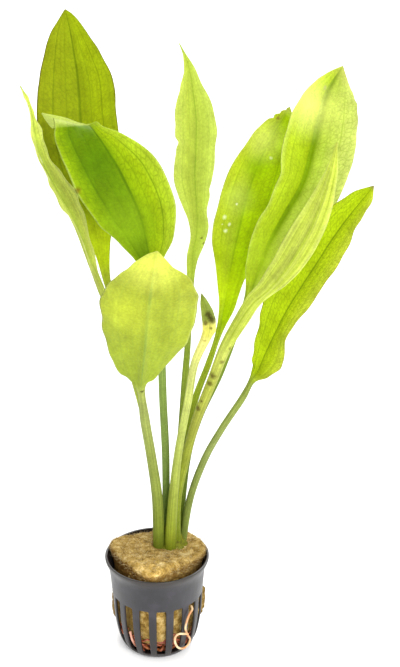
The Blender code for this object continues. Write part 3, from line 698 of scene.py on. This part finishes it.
grow_leaf("leaf_back_left", shows="upper", turn=0, fold=10, wave=1.2, waves=4.5, stalk=6, stations=[
    (3.0, 13.0, LEAF_FOOT, 1.8, 1.8),
    (0.6, 17.0, 74.0, 1.8, 1.8),
    (-3.0, 25.5, 102.0, 1.8, 1.8),
    (-9.0, 33.5, 130.0, 1.7, 1.7),
    (-16.2, 38.8, 158.0, 1.7, 1.7),
    (-22.6, 42.5, 181.0, 1.8, 1.8),
    (-26.6, 49.0, 198.0, 3.4, 6.0),
    (-30.1, 57.0, 216.5, 11.0, 13.0),
    (-32.5, 65.0, 230.5, 17.5, 16.5),
    (-34.0, 72.0, 244.0, 21.0, 17.8),
    (-35.0, 78.5, 256.5, 21.3, 17.8),
    (-35.9, 85.5, 270.0, 20.0, 17.3),
    (-37.7, 92.5, 282.0, 15.6, 12.5),
    (-39.6, 98.0, 292.7, 9.6, 6.9),
    (-41.2, 101.5, 298.8, 3.6, 3.2),
    (-42.0, 103.0, 301.8, 0.2, 0.2),
], skin=leaf_skin(
    "sword_leaf_olive",
    across=[(0.0, "949E18"), (0.2, "98A418"), (0.45, "96A416"), (0.6, "98A814"), (0.8, "A4B414"),
            (1.0, "9EAE18")],
    along=[(0.0, "E8E8E8"), (0.5, "FFFFFF"), (1.0, "FFFFFF")],
    stalk=[(0.0, "8F9A30"), (1.0, "A8B440")],
    vein="5C7208", midrib=0.75, side_veins=0.6, net=0.25, margin="7A6A20", edging=0.5,
    tip=(1.93, 1.99, "7E6E28", 0.6),
    # Pale patches of painted light on the lower and middle blade.
    light_and_shade_patches=[((-26.0, 48.0, 197.0), 22.0, "DCEC2C"), ((-24.0, 66.0, 232.0), 16.0, "C4D216")],
))


# Arched left leaf: it leans to the left and arches over backwards, so that the far part shows only as a thin
# crest, painted pale as a highlight. Its left half is in its own shade, painted into its colours as darker
# green, and its right half glows.
grow_leaf("leaf_arched_left", shows="upper", turn=-4, fold=14, wave=0.8, waves=3.5, stalk=6, stations=[
    (4.6, 8.4, LEAF_FOOT, 1.8, 1.8),
    (4.8, 7.5, 78.0, 1.8, 1.8),
    (4.8, 7.4, 105.0, 1.9, 1.9),
    (3.8, 6.8, 134.0, 1.9, 1.9),
    (3.2, 6.5, 160.0, 1.9, 1.9),
    (1.7, 8.5, 188.0, 2.0, 2.0),
    (-1.3, 11.0, 204.0, 5.4, 5.6),
    (-3.5, 13.5, 216.0, 12.0, 14.0),
    (-7.2, 16.5, 230.0, 20.0, 19.0),
    (-13.7, 21.5, 244.0, 22.6, 18.4),
    (-21.0, 27.5, 255.5, 22.3, 11.6),
    (-26.2, 33.0, 261.8, 20.4, 4.8),
    (-29.6, 38.5, 263.6, 18.8, 3.4),
    (-35.1, 45.0, 261.5, 15.4, 3.8),
    (-43.6, 52.0, 261.5, 7.4, 2.8),
    (-52.6, 58.0, 263.5, 0.2, 0.2),
], skin=leaf_skin(
    "sword_leaf_shaded_half",
    # Painted shade darkens the left half.
    across=[(0.0, "A2BC18"), (0.10, "88A80E"), (0.2, "6C8E0A"), (0.46, "6A8E0A"), (0.56, "9CB812"),
            (0.75, "AAC218"), (1.0, "BACE38")],
    along=[(0.0, "D8D8D8"), (0.35, "FFFFFF"), (1.0, "FFFFFF")],
    stalk=[(0.0, "64782C"), (0.35, "869C50"), (1.0, "8AA050")],
    vein="4E720A", midrib=0.85, side_veins=0.65, net=0.3, margin="E0EA90", edging=0.35,
    # Painted highlight: the crest and the part past it are painted pale.
    tip=(1.69, 1.72, "D8E27C", 0.7),
    # Painted shade: darker green patches on the left half.
    light_and_shade_patches=[((-12.0, 15.5, 222.0), 14.0, "90B01E"), ((-26.0, 24.0, 250.0), 9.0, "5E8808")],
    spots_and_glints=[((-34.5, 15.3, 240.0), 1.5, "7A5A1C"), ((-32.0, 15.0, 241.5), 0.6, "7A5A1C")],
))


# Edge-on left leaf: a narrow pale blade turned almost edge-on to the front, duller green at its tip. Its thin
# stalk leans out to the left.
grow_leaf("leaf_edge_left", shows="upper", turn=74, fold=14, wave=0.8, waves=3.5, stalk=6, stations=[
    (0.6, 8.8, LEAF_FOOT, 1.7, 1.7),
    (0.0, 9.0, 78.0, 1.6, 1.6),
    (-4.2, 13.0, 114.0, 1.5, 1.5),
    (-10.6, 18.0, 142.0, 1.5, 1.5),
    (-17.6, 21.0, 164.5, 1.5, 1.5),
    (-24.7, 23.0, 185.0, 1.8, 1.8),
    (-29.6, 25.0, 199.5, 4.0, 4.4),
    (-36.0, 28.0, 217.5, 9.0, 9.5),
    (-42.1, 30.5, 229.0, 12.0, 11.6),
    (-47.9, 33.5, 239.5, 13.5, 10.2),
    (-52.8, 36.5, 250.5, 13.0, 7.2),
    (-55.2, 40.0, 261.5, 10.6, 4.8),
    (-56.6, 43.5, 269.5, 7.0, 3.6),
    (-59.0, 46.5, 275.5, 3.5, 2.2),
    (-61.6, 49.0, 280.0, 0.2, 0.2),
], skin=leaf_skin(
    "sword_leaf_pale_edge",
    across=[(0.0, "E6EC90"), (0.25, "DEE674"), (0.5, "CCDA5C"), (0.75, "DCE46C"), (1.0, "E8EE94")],
    along=[(0.0, "E0E0D0"), (0.6, "FFFFFF"), (1.0, "FFFFFF")],
    stalk=[(0.0, "96A43C"), (1.0, "BCC85C")],
    vein="8CA82C", midrib=0.7, side_veins=0.5, net=0.2, edging=0.3, blade_stripes=0.6,
    tip=(1.9, 2.0, "8CA060", 0.6),
    spots_and_glints=[((-52.1, 32.0, 249.1), 2.2, "F0F2C8"), ((-48.8, 25.9, 242.4), 1.6, "F0F2C8"),
           ((-53.9, 27.5, 255.6), 1.6, "EEF0C0")],
))


# Front round leaf: the shortest and broadest blade, bent towards the front so that its under side shows,
# with the midrib raised on it.
grow_leaf("leaf_front_round", shows="under", turn=0, fold=-12, wave=0.9, waves=4.0, stalk=5, stations=[
    (1.0, 4.6, LEAF_FOOT, 3.0, 3.0),
    (0.5, -0.5, 83.0, 2.7, 2.7),
    (-2.0, -8.5, 110.5, 2.4, 2.4),
    (-4.9, -18.0, 137.0, 2.3, 2.3),
    (-6.6, -29.0, 160.0, 2.2, 2.2),
    (-6.0, -33.0, 167.6, 9.6, 7.2),
    (-4.8, -39.0, 181.5, 17.0, 17.4),
    (-3.6, -44.0, 196.5, 20.6, 22.0),
    (-2.2, -48.0, 210.5, 21.2, 22.0),
    (-0.8, -51.0, 222.0, 15.6, 18.2),
    (0.3, -52.0, 230.0, 9.0, 9.4),
    (1.1, -51.0, 234.4, 4.6, 4.0),
    (1.6, -49.0, 236.3, 0.2, 0.2),
], skin=leaf_skin(
    "sword_leaf_pale_under",
    across=[(0.0, "CCD652"), (0.3, "CAD44A"), (0.5, "C8D24A"), (0.7, "CAD44A"), (1.0, "D0D850")],
    along=[(0.0, "CCD8C4"), (0.3, "D4DAD0"), (0.65, "DCDCDC"), (0.85, "ECECE8"), (1.0, "FFFFFF")],
    stalk=[(0.0, "646E0E"), (0.1, "7E8C30"), (0.3, "929E48"), (0.85, "A0AA5C"), (1.0, "B0BA5C")],
    vein="8EA448", midrib=0.85, side_veins=0.3, net=0.28, edging=0.35,
    # Painted light pales the top of the blade, and faint painted shade lies low on its left.
    light_and_shade_patches=[((0.0, -51.0, 230.0), 12.0, "E2E66C"), ((-12.0, -46.0, 205.0), 12.0, "C6D044")],
    spots_and_glints=[((-6.0, -30.6, 158.9), 1.0, "3A3010"), ((-7.0, -30.6, 157.2), 0.6, "4A3A18")],
))


# Back centre leaf: narrow and pale, turned a little to the right, with a notch in one margin, a lobe at its
# foot and a long thin tip.
grow_leaf("leaf_back_centre", shows="upper", turn=28, fold=12, wave=0.9, waves=3.5, stalk=6, stations=[
    (8.4, 10.6, LEAF_FOOT, 1.8, 1.8),
    (9.8, 12.0, 84.0, 1.8, 1.8),
    (12.6, 15.0, 113.0, 1.7, 1.7),
    (14.6, 17.6, 140.0, 1.7, 1.7),
    (16.2, 20.5, 160.0, 1.5, 1.5),
    (17.3, 23.0, 183.0, 1.5, 1.5),
    (18.4, 26.0, 200.0, 3.0, 3.0),
    (20.7, 28.5, 213.0, 4.2, 6.2),
    (20.9, 31.5, 224.5, 8.0, 5.2),
    (20.1, 35.0, 238.0, 12.5, 8.6),
    (20.7, 39.0, 253.0, 13.2, 10.4),
    (20.8, 42.0, 265.0, 12.8, 9.6),
    (19.5, 44.5, 277.5, 9.8, 6.0),
    (17.9, 46.0, 287.5, 3.8, 3.2),
    (15.6, 47.0, 294.5, 0.9, 1.1),
    (13.1, 48.0, 300.2, 0.2, 0.2),
], skin=leaf_skin(
    "sword_leaf_pale_centre",
    across=[(0.0, "CCD866"), (0.3, "BECC4E"), (0.5, "B4C448"), (0.75, "BECE54"), (1.0, "CAD868")],
    along=[(0.0, "F0F4E4"), (0.5, "F4F4F4"), (1.0, "FFFFFF")],
    stalk=[(0.0, "7C8A28"), (0.4, "8C9C3C"), (1.0, "9CB048")],
    vein="86A030", midrib=0.75, side_veins=0.45, net=0.2, edging=0.3,
    tip=(1.86, 2.0, "A4B46C", 0.6),
    spots_and_glints=[((24.2, 28.8, 207.5), 0.7, "5E5A20"), ((23.2, 28.8, 210.2), 0.6, "5E5A20")],
), nicks=[(-1, 0.515, 1.6, 0.012), (-1, 0.72, 0.5, 0.02), (1, 0.36, 0.7, 0.015)])


# Stub leaf: a young blade that stayed small and folded shut, spotted with brown decay. It tops a stalk that
# turns from olive to pale yellow, among the others at the front of the crown.
grow_leaf("leaf_stub", shows="upper", turn=10, fold=30, wave=0.4, waves=1.5, stalk=6, stations=[
    (6.4, 3.4, LEAF_FOOT, 3.0, 3.0),
    (8.2, -0.6, 83.0, 2.5, 2.5),
    (11.0, -3.2, 112.0, 2.0, 2.0),
    (15.6, -6.0, 141.0, 1.9, 1.9),
    (18.6, -6.9, 160.5, 1.9, 1.9),
    (24.0, -7.0, 174.5, 2.4, 2.4),
    (25.6, -7.0, 179.5, 3.8, 3.2),
    (24.7, -7.0, 186.0, 3.4, 3.6),
    (23.2, -7.5, 192.5, 2.0, 2.1),
    (21.9, -8.0, 197.7, 0.2, 0.2),
], skin=leaf_skin(
    "sword_leaf_young_stub",
    across=[(0.0, "E8E27C"), (0.4, "D8D468"), (0.7, "E8E480"), (1.0, "F0EA90")],
    along=[(0.0, "FFFFFF"), (0.34, "FFFFFF"), (0.44, "A6B8A0"), (0.8, "A4B898"), (1.0, "8EA080")],
    stalk=[(0.0, "6C760E"), (0.1, "98A434"), (0.5, "BCC66C"), (0.8, "D0D484"), (1.0, "F4EE98")],
    vein="80903C", midrib=0.6, side_veins=0.3, net=0.2, edging=0.2,
    spots_and_glints=[((25.1, -7.2, 186.9), 1.5, "4C4020"), ((26.8, -7.3, 183.8), 1.8, "3E3418"),
           ((26.0, -7.3, 185.4), 1.1, "443A1A"), ((23.6, -8.0, 182.6), 1.2, "5A4A24"),
           ((24.0, -7.3, 177.2), 0.9, "8A7A34"), ((26.4, -7.1, 179.7), 0.9, "6A5A2C"),
           ((23.4, -8.8, 174.0), 0.8, "9A8638")],
))


# Inner right leaf: broad and bright, with pale patches of painted light, painted shade that darkens its
# middle, pale specks that are painted highlights, and a torn tip.
grow_leaf("leaf_right_inner", shows="upper", turn=4, fold=10, wave=1.0, waves=4.0, stalk=6, stations=[
    (7.2, 14.6, LEAF_FOOT, 1.7, 1.7),
    (10.6, 17.0, 83.0, 1.7, 1.7),
    (14.0, 21.5, 105.0, 1.7, 1.7),
    (20.4, 26.0, 127.0, 1.7, 1.7),
    (26.2, 29.4, 142.0, 1.6, 1.6),
    (31.3, 32.5, 157.0, 1.6, 1.6),
    (34.4, 36.0, 171.0, 2.8, 5.2),
    (37.4, 41.5, 187.0, 7.5, 8.5),
    (40.4, 45.5, 200.5, 12.4, 13.6),
    (43.8, 50.0, 215.0, 13.6, 16.8),
    (47.6, 54.0, 227.5, 12.8, 16.4),
    (52.8, 58.5, 239.5, 11.0, 14.8),
    (58.7, 62.5, 250.0, 7.9, 11.4),
    (63.6, 66.0, 256.8, 4.4, 6.6),
    (67.0, 68.0, 262.2, 0.2, 0.2),
], skin=leaf_skin(
    "sword_leaf_bright",
    across=[(0.0, "C2CE36"), (0.16, "BCCA30"), (0.34, "B8C838"), (0.47, "B0C628"), (0.55, "BCD414"),
            (0.85, "BED616"), (1.0, "CADC40")],
    along=[(0.0, "FAFFE0"), (0.4, "FFFFFF"), (1.0, "FFFFFF")],
    stalk=[(0.0, "869434"), (1.0, "AEC038")],
    vein="7C9C0C", midrib=0.6, side_veins=0.5, net=0.3, edging=0.4,
    tip=(1.9, 1.97, "C8C878", 0.6),
    # Pale patches of painted light, and darker patches of painted shade in the middle.
    light_and_shade_patches=[((41.0, 50.0, 222.0), 8.0, "C4D45C"), ((32.0, 42.0, 196.0), 7.0, "B4C81A"),
              ((50.0, 56.0, 236.0), 6.0, "A0C008"), ((36.0, 38.0, 180.0), 12.0, "CCE018"),
              ((55.0, 61.0, 248.0), 10.0, "DCE478")],
    # Pale specks that are painted highlights, and a brown mark near the tip.
    spots_and_glints=[((34.5, 47.6, 213.4), 1.1, "F2F4D8"), ((37.1, 47.0, 209.7), 0.7, "F2F4D8"),
           ((35.2, 45.8, 206.8), 0.9, "F2F4D8"), ((44.0, 58.3, 243.8), 0.7, "F0F4D0"),
           ((57.5, 58.0, 239.6), 0.7, "F0F4D0"), ((40.7, 50.2, 218.8), 0.5, "F2F4D8"),
           ((36.4, 48.2, 211.8), 0.4, "F2F4D8"), ((33.6, 46.2, 210.0), 0.4, "F2F4D8"),
           ((61.2, 65.8, 257.2), 1.0, "A08A40")],
), nicks=[(-1, 0.86, 1.0, 0.012), (-1, 0.91, 0.8, 0.010), (1, 0.93, 0.9, 0.010), (-1, 0.955, 0.9, 0.008)])


# Tall right leaf: folded to a V along its midrib, with painted shade darkening the valley, pale patches of
# painted light low down and on its right half, net veins on its right half, and a pale speck that is a
# painted highlight.
grow_leaf("leaf_right_tall", shows="upper", turn=10, fold=30, wave=1.0, waves=4.0, stalk=6, stations=[
    (11.2, 13.6, LEAF_FOOT, 1.8, 1.8),
    (15.0, 13.8, 95.0, 1.8, 1.8),
    (21.2, 15.0, 120.0, 1.8, 1.8),
    (31.4, 16.6, 143.5, 1.8, 1.8),
    (39.3, 18.0, 166.0, 1.8, 1.8),
    (45.3, 20.5, 183.0, 2.0, 2.0),
    (50.1, 24.0, 195.5, 7.6, 8.0),
    (55.3, 27.5, 208.5, 12.6, 13.4),
    (62.9, 32.0, 221.5, 12.4, 19.0),
    (70.8, 37.5, 234.0, 15.5, 20.2),
    (75.2, 43.0, 247.5, 18.6, 21.0),
    (78.6, 49.0, 260.5, 17.4, 20.6),
    (82.2, 55.0, 271.5, 11.0, 17.2),
    (86.2, 58.5, 278.0, 5.6, 11.6),
    (91.4, 62.0, 284.3, 0.2, 0.2),
], skin=leaf_skin(
    "sword_leaf_folded",
    # Painted shade darkens the valley along the midrib.
    across=[(0.0, "CCDC60"), (0.10, "BED030"), (0.36, "B4CA22"), (0.45, "AEC41C"), (0.485, "84A008"),
            (0.53, "7E9A0A"), (0.58, "B0C440"), (0.8, "C6D266"), (1.0, "D0DA78")],
    stalk=[(0.0, "6A7C28"), (0.6, "7A8E34"), (1.0, "A8BC40")],
    vein="7C9A10", midrib=0.8, side_veins=0.5, net=0.32, edging=0.3,
    tip=(1.86, 2.0, "C4C070", 0.5),
    # Pale patches of painted light, low down and on the right half.
    light_and_shade_patches=[((48.0, 24.0, 200.0), 15.0, "B8CE30"), ((75.0, 48.0, 270.0), 14.0, "ECEC90")],
    # A dark mark, and a pale speck that is a painted highlight.
    spots_and_glints=[((38.0, 17.6, 156.6), 1.0, "4A4418"), ((82.5, 55.9, 275.4), 1.0, "BCBE7C")],
))


# Front right leaf: long and narrow, leaning forward with its rolled under side to the front, on the thickest
# stalk, which is browned and spotted.
grow_leaf("leaf_right_front", shows="under", turn=-15, fold=-15, wave=0.7, waves=3.0, stalk=6, stations=[
    (9.8, 6.2, LEAF_FOOT, 2.2, 2.2),
    (10.3, 4.2, 81.0, 2.2, 2.2),
    (15.0, 2.4, 107.0, 2.2, 2.2),
    (19.8, -1.0, 128.0, 2.3, 2.3),
    (27.2, -7.0, 152.5, 2.5, 2.5),
    (33.0, -12.0, 172.0, 2.8, 2.8),
    (39.4, -16.0, 187.5, 2.9, 3.9),
    (45.5, -19.6, 199.0, 3.8, 3.8),
    (51.7, -22.0, 206.0, 5.2, 4.4),
    (60.1, -26.0, 218.5, 7.6, 6.2),
    (68.1, -30.5, 235.5, 8.2, 6.6),
    (72.7, -34.5, 250.0, 6.0, 5.7),
    (76.0, -38.5, 265.0, 3.0, 3.6),
    (77.6, -40.8, 275.5, 1.2, 1.6),
    (78.4, -42.0, 282.7, 0.2, 0.2),
], skin=leaf_skin(
    "sword_leaf_khaki_under",
    across=[(0.0, "CCD66C"), (0.22, "BECA50"), (0.42, "C8D25E"), (0.5, "AEBC40"), (0.6, "C4CE58"),
            (0.8, "BCC84A"), (1.0, "D4DC74")],
    stalk=[(0.0, "6C760E"), (0.1, "8A982E"), (0.35, "9CA63C"), (0.6, "A8AC4C"), (0.8, "B8BE54"),
           (1.0, "CCD46C")],
    vein="8E9E34", midrib=0.7, side_veins=0.55, net=0.15, edging=0.3, blade_stripes=0.8,
    spots_and_glints=[((27.3, -9.8, 156.1), 1.7, "5A4C22"), ((25.9, -8.7, 151.5), 1.3, "54481E"),
           ((19.9, -4.4, 136.1), 1.6, "5A4A24"), ((31.4, -12.6, 164.7), 1.1, "6E6230"),
           ((35.4, -15.1, 172.2), 1.1, "7A6C38"), ((22.0, -5.6, 140.5), 0.8, "6A5A30")],
))


# Low right leaf: the outermost, lime to olive with a strong midrib, a waved margin and a lobe near its foot.
# Its thin stalk bends out to the right, clear of the others.
grow_leaf("leaf_right_low", shows="upper", turn=-30, fold=14, wave=1.5, waves=4.0, stalk=6, stations=[
    (12.8, 9.8, LEAF_FOOT, 1.8, 1.8),
    (16.7, 8.7, 78.0, 1.8, 1.8),
    (23.7, 8.3, 100.3, 1.8, 1.8),
    (32.2, 7.6, 118.0, 1.7, 1.7),
    (41.9, 6.6, 135.0, 1.7, 1.7),
    (46.6, 5.2, 145.5, 1.7, 1.7),
    (49.8, 5.0, 152.0, 4.0, 7.0),
    (52.7, 5.4, 159.5, 5.6, 11.0),
    (57.7, 6.2, 171.0, 9.6, 7.6),
    (62.8, 7.4, 181.5, 12.4, 8.0),
    (69.8, 8.8, 193.5, 12.2, 10.0),
    (76.6, 10.0, 204.5, 11.8, 10.2),
    (83.6, 11.2, 216.0, 11.0, 9.4),
    (90.9, 12.4, 226.5, 9.4, 7.0),
    (97.7, 13.6, 235.2, 5.4, 4.8),
    (102.4, 14.0, 241.5, 0.2, 0.2),
], skin=leaf_skin(
    "sword_leaf_lime",
    across=[(0.0, "B8CC24"), (0.3, "B4CA18"), (0.5, "ACC014"), (0.7, "B8CA20"), (1.0, "C4CE44")],
    along=[(0.0, "F4F4F0"), (0.4, "FFFFFF"), (1.0, "FFFFFF")],
    stalk=[(0.0, "7C8A3A"), (0.5, "98A460"), (1.0, "96A448")],
    vein="647E0A", midrib=0.85, side_veins=0.5, net=0.4, margin="A8903C", edging=0.5,
    tip=(1.95, 1.995, "8A7A54", 0.8),
))


# Roots: round, limp and smooth, pale where they are young and orange-brown where they are old. One hangs out
# of a slot and loops back on itself; the others circle on the pot's floor and look out through the slots.
ROOT_SIDES = 16
ROOT_KNOBS = (0.12, 0.4)  # share of the thickness, and how many to the mm, of a root's unevenness
TIPS_TO_A_ROOT = 30  # a root is as long as this many of its rounded tips
# (turn from the front to the right in degrees, distance from the axis, height), in millimetres
LOOP_ROUTE = [
    (49.0, 21.9, 30.6), (46.5, 23.6, 29.4), (40.6, 23.9, 27.6), (37.2, 23.7, 24.0), (36.0, 23.2, 19.6),
    (40.5, 22.6, 15.0), (46.5, 22.0, 10.9), (45.0, 21.2, 7.4), (36.2, 21.0, 6.6), (27.2, 21.5, 8.8),
    (22.2, 22.3, 13.0), (22.0, 23.1, 16.8), (26.0, 23.8, 18.4), (32.0, 24.6, 18.0), (37.5, 25.0, 17.2),
]
LEFT_ROUTE = [
    (-43.0, 20.4, 16.0), (-41.5, 19.8, 11.5), (-39.5, 18.6, 8.0), (-40.5, 16.8, 5.6), (-50.0, 15.0, 4.6),
]
FRONT_ROUTE = [
    (-24.0, 15.4, 7.6), (-18.0, 17.6, 7.0), (-13.5, 15.4, 5.6), (-4.0, 15.0, 5.2), (4.5, 17.2, 5.8),
    (11.0, 15.4, 7.4),
]
COIL_TURNS, COIL_STEPS = 2.2, 40
COIL_START, COIL_END = (10.4, 7.0), (13.4, 3.1)  # distance from the axis and height


def around(degrees, radius, height):
    """A point round the pot's axis, in millimetres."""
    angle = math.radians(degrees)
    return Vector((radius * math.sin(angle), -radius * math.cos(angle), height))


def grow_root(name, route, radius, rows, skin):
    """A tube along the route on a grid, with an uneven thickness and a rounded tip at each end."""
    bm = bmesh.new()
    last = len(route) - 1
    for vert, around_it, share in new_sheet(bm, ROOT_SIDES, rows):
        angle = 2 * math.pi * around_it
        middle = Vector(through(route, last * share))
        ahead = Vector(through(route, min(last, last * share + 0.1)))
        behind = Vector(through(route, max(0, last * share - 0.1)))
        along = (ahead - behind).normalized()
        side = along.cross(Vector((0.3, 0.2, 1.0))).normalized()
        up = side.cross(along)
        near_end = min(1.0, min(share, 1 - share) * TIPS_TO_A_ROOT)
        ends = math.sqrt(max(0.0, 1 - (1 - near_end) ** 2))
        thick = radius * ends * (1 + ROOT_KNOBS[0] * noise.noise(middle * ROOT_KNOBS[1]))
        vert.co = (middle + side * math.cos(angle) * thick + up * math.sin(angle) * thick) / 1000
    close_seams(bm)
    piece = new_piece(name, bm, skin)
    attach(piece, "root")
    return piece


def root_skin(name, young, old):
    """Root tissue, smooth and wet, whose colour drifts from young to old and back about every 6 mm."""
    return two_tone(name, 160.0, 4.0, [(0.35, young), (0.65, old)], {"Roughness": 0.42})


pale_root = root_skin("young_root_tissue", "E0C89C", "C07C44")
old_root = root_skin("old_root_tissue", "B8703C", "7A3A1E")
loop = grow_root("looped_root", [around(*p) for p in LOOP_ROUTE], radius=0.55, rows=160, skin=pale_root)
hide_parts("root_loop")
pink_root = root_skin("pink_root_tissue", "DCA48C", "9C5230")
left_root = grow_root("left_root", [around(*p) for p in LEFT_ROUTE], radius=0.6, rows=70, skin=pink_root)
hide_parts("root_left")
front_root = grow_root("front_root", [around(*p) for p in FRONT_ROUTE], radius=0.6, rows=90, skin=old_root)
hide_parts("root_front")
coil_route = []
for step in range(COIL_STEPS + 1):
    share = step / COIL_STEPS
    radius, height = (start + (end - start) * share for start, end in zip(COIL_START, COIL_END))
    coil_route.append(around(360 * COIL_TURNS * share, radius, height))
coil = grow_root("coiled_root", coil_route, radius=0.8, rows=320, skin=old_root)
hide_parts("root_coil")

# Finer roots, matted round the foot of the block where they look out of the slots' lower ends.
FINE_ROOTS, FINE_SIDES, FINE_STEPS = 90, 8, 14
FINE_LOWEST, FINE_LEVELS, FINE_THICKNESS = 4.4, (5.2, 14.0), (0.26, 0.46)
chance = random.Random(11)
bm = bmesh.new()
for fine in range(FINE_ROOTS):
    start = chance.uniform(-180, 180)
    level = chance.uniform(*FINE_LEVELS)
    reach = 15.2 + 0.33 * level + chance.uniform(-0.9, 0.3)
    sweep, climb = chance.uniform(14, 34), chance.uniform(-3.0, 3.0)
    route = []
    for part in (0.0, 0.25, 0.5, 0.75, 1.0):
        radius = reach + chance.uniform(-0.5, 0.3)
        height = max(FINE_LOWEST, level + climb * part + chance.uniform(-0.8, 0.8))
        route.append(around(start + sweep * part, radius, height))
    thick = chance.uniform(*FINE_THICKNESS)
    for vert, around_it, share in new_sheet(bm, FINE_SIDES, FINE_STEPS):
        angle = 2 * math.pi * around_it
        middle = Vector(through(route, 4 * share))
        out = Vector((middle.x, middle.y, 0.0)).normalized()
        ends = 0.0 if share < 0.01 or share > 0.99 else 1.0
        round_it = out * math.cos(angle) + Vector((0, 0, math.sin(angle)))
        vert.co = (middle + round_it * thick * ends) / 1000
close_seams(bm)
matted = new_piece("fine_roots", bm, root_skin("fine_root_tissue", "A8552C", "6E2A16"))
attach(matted, "root")
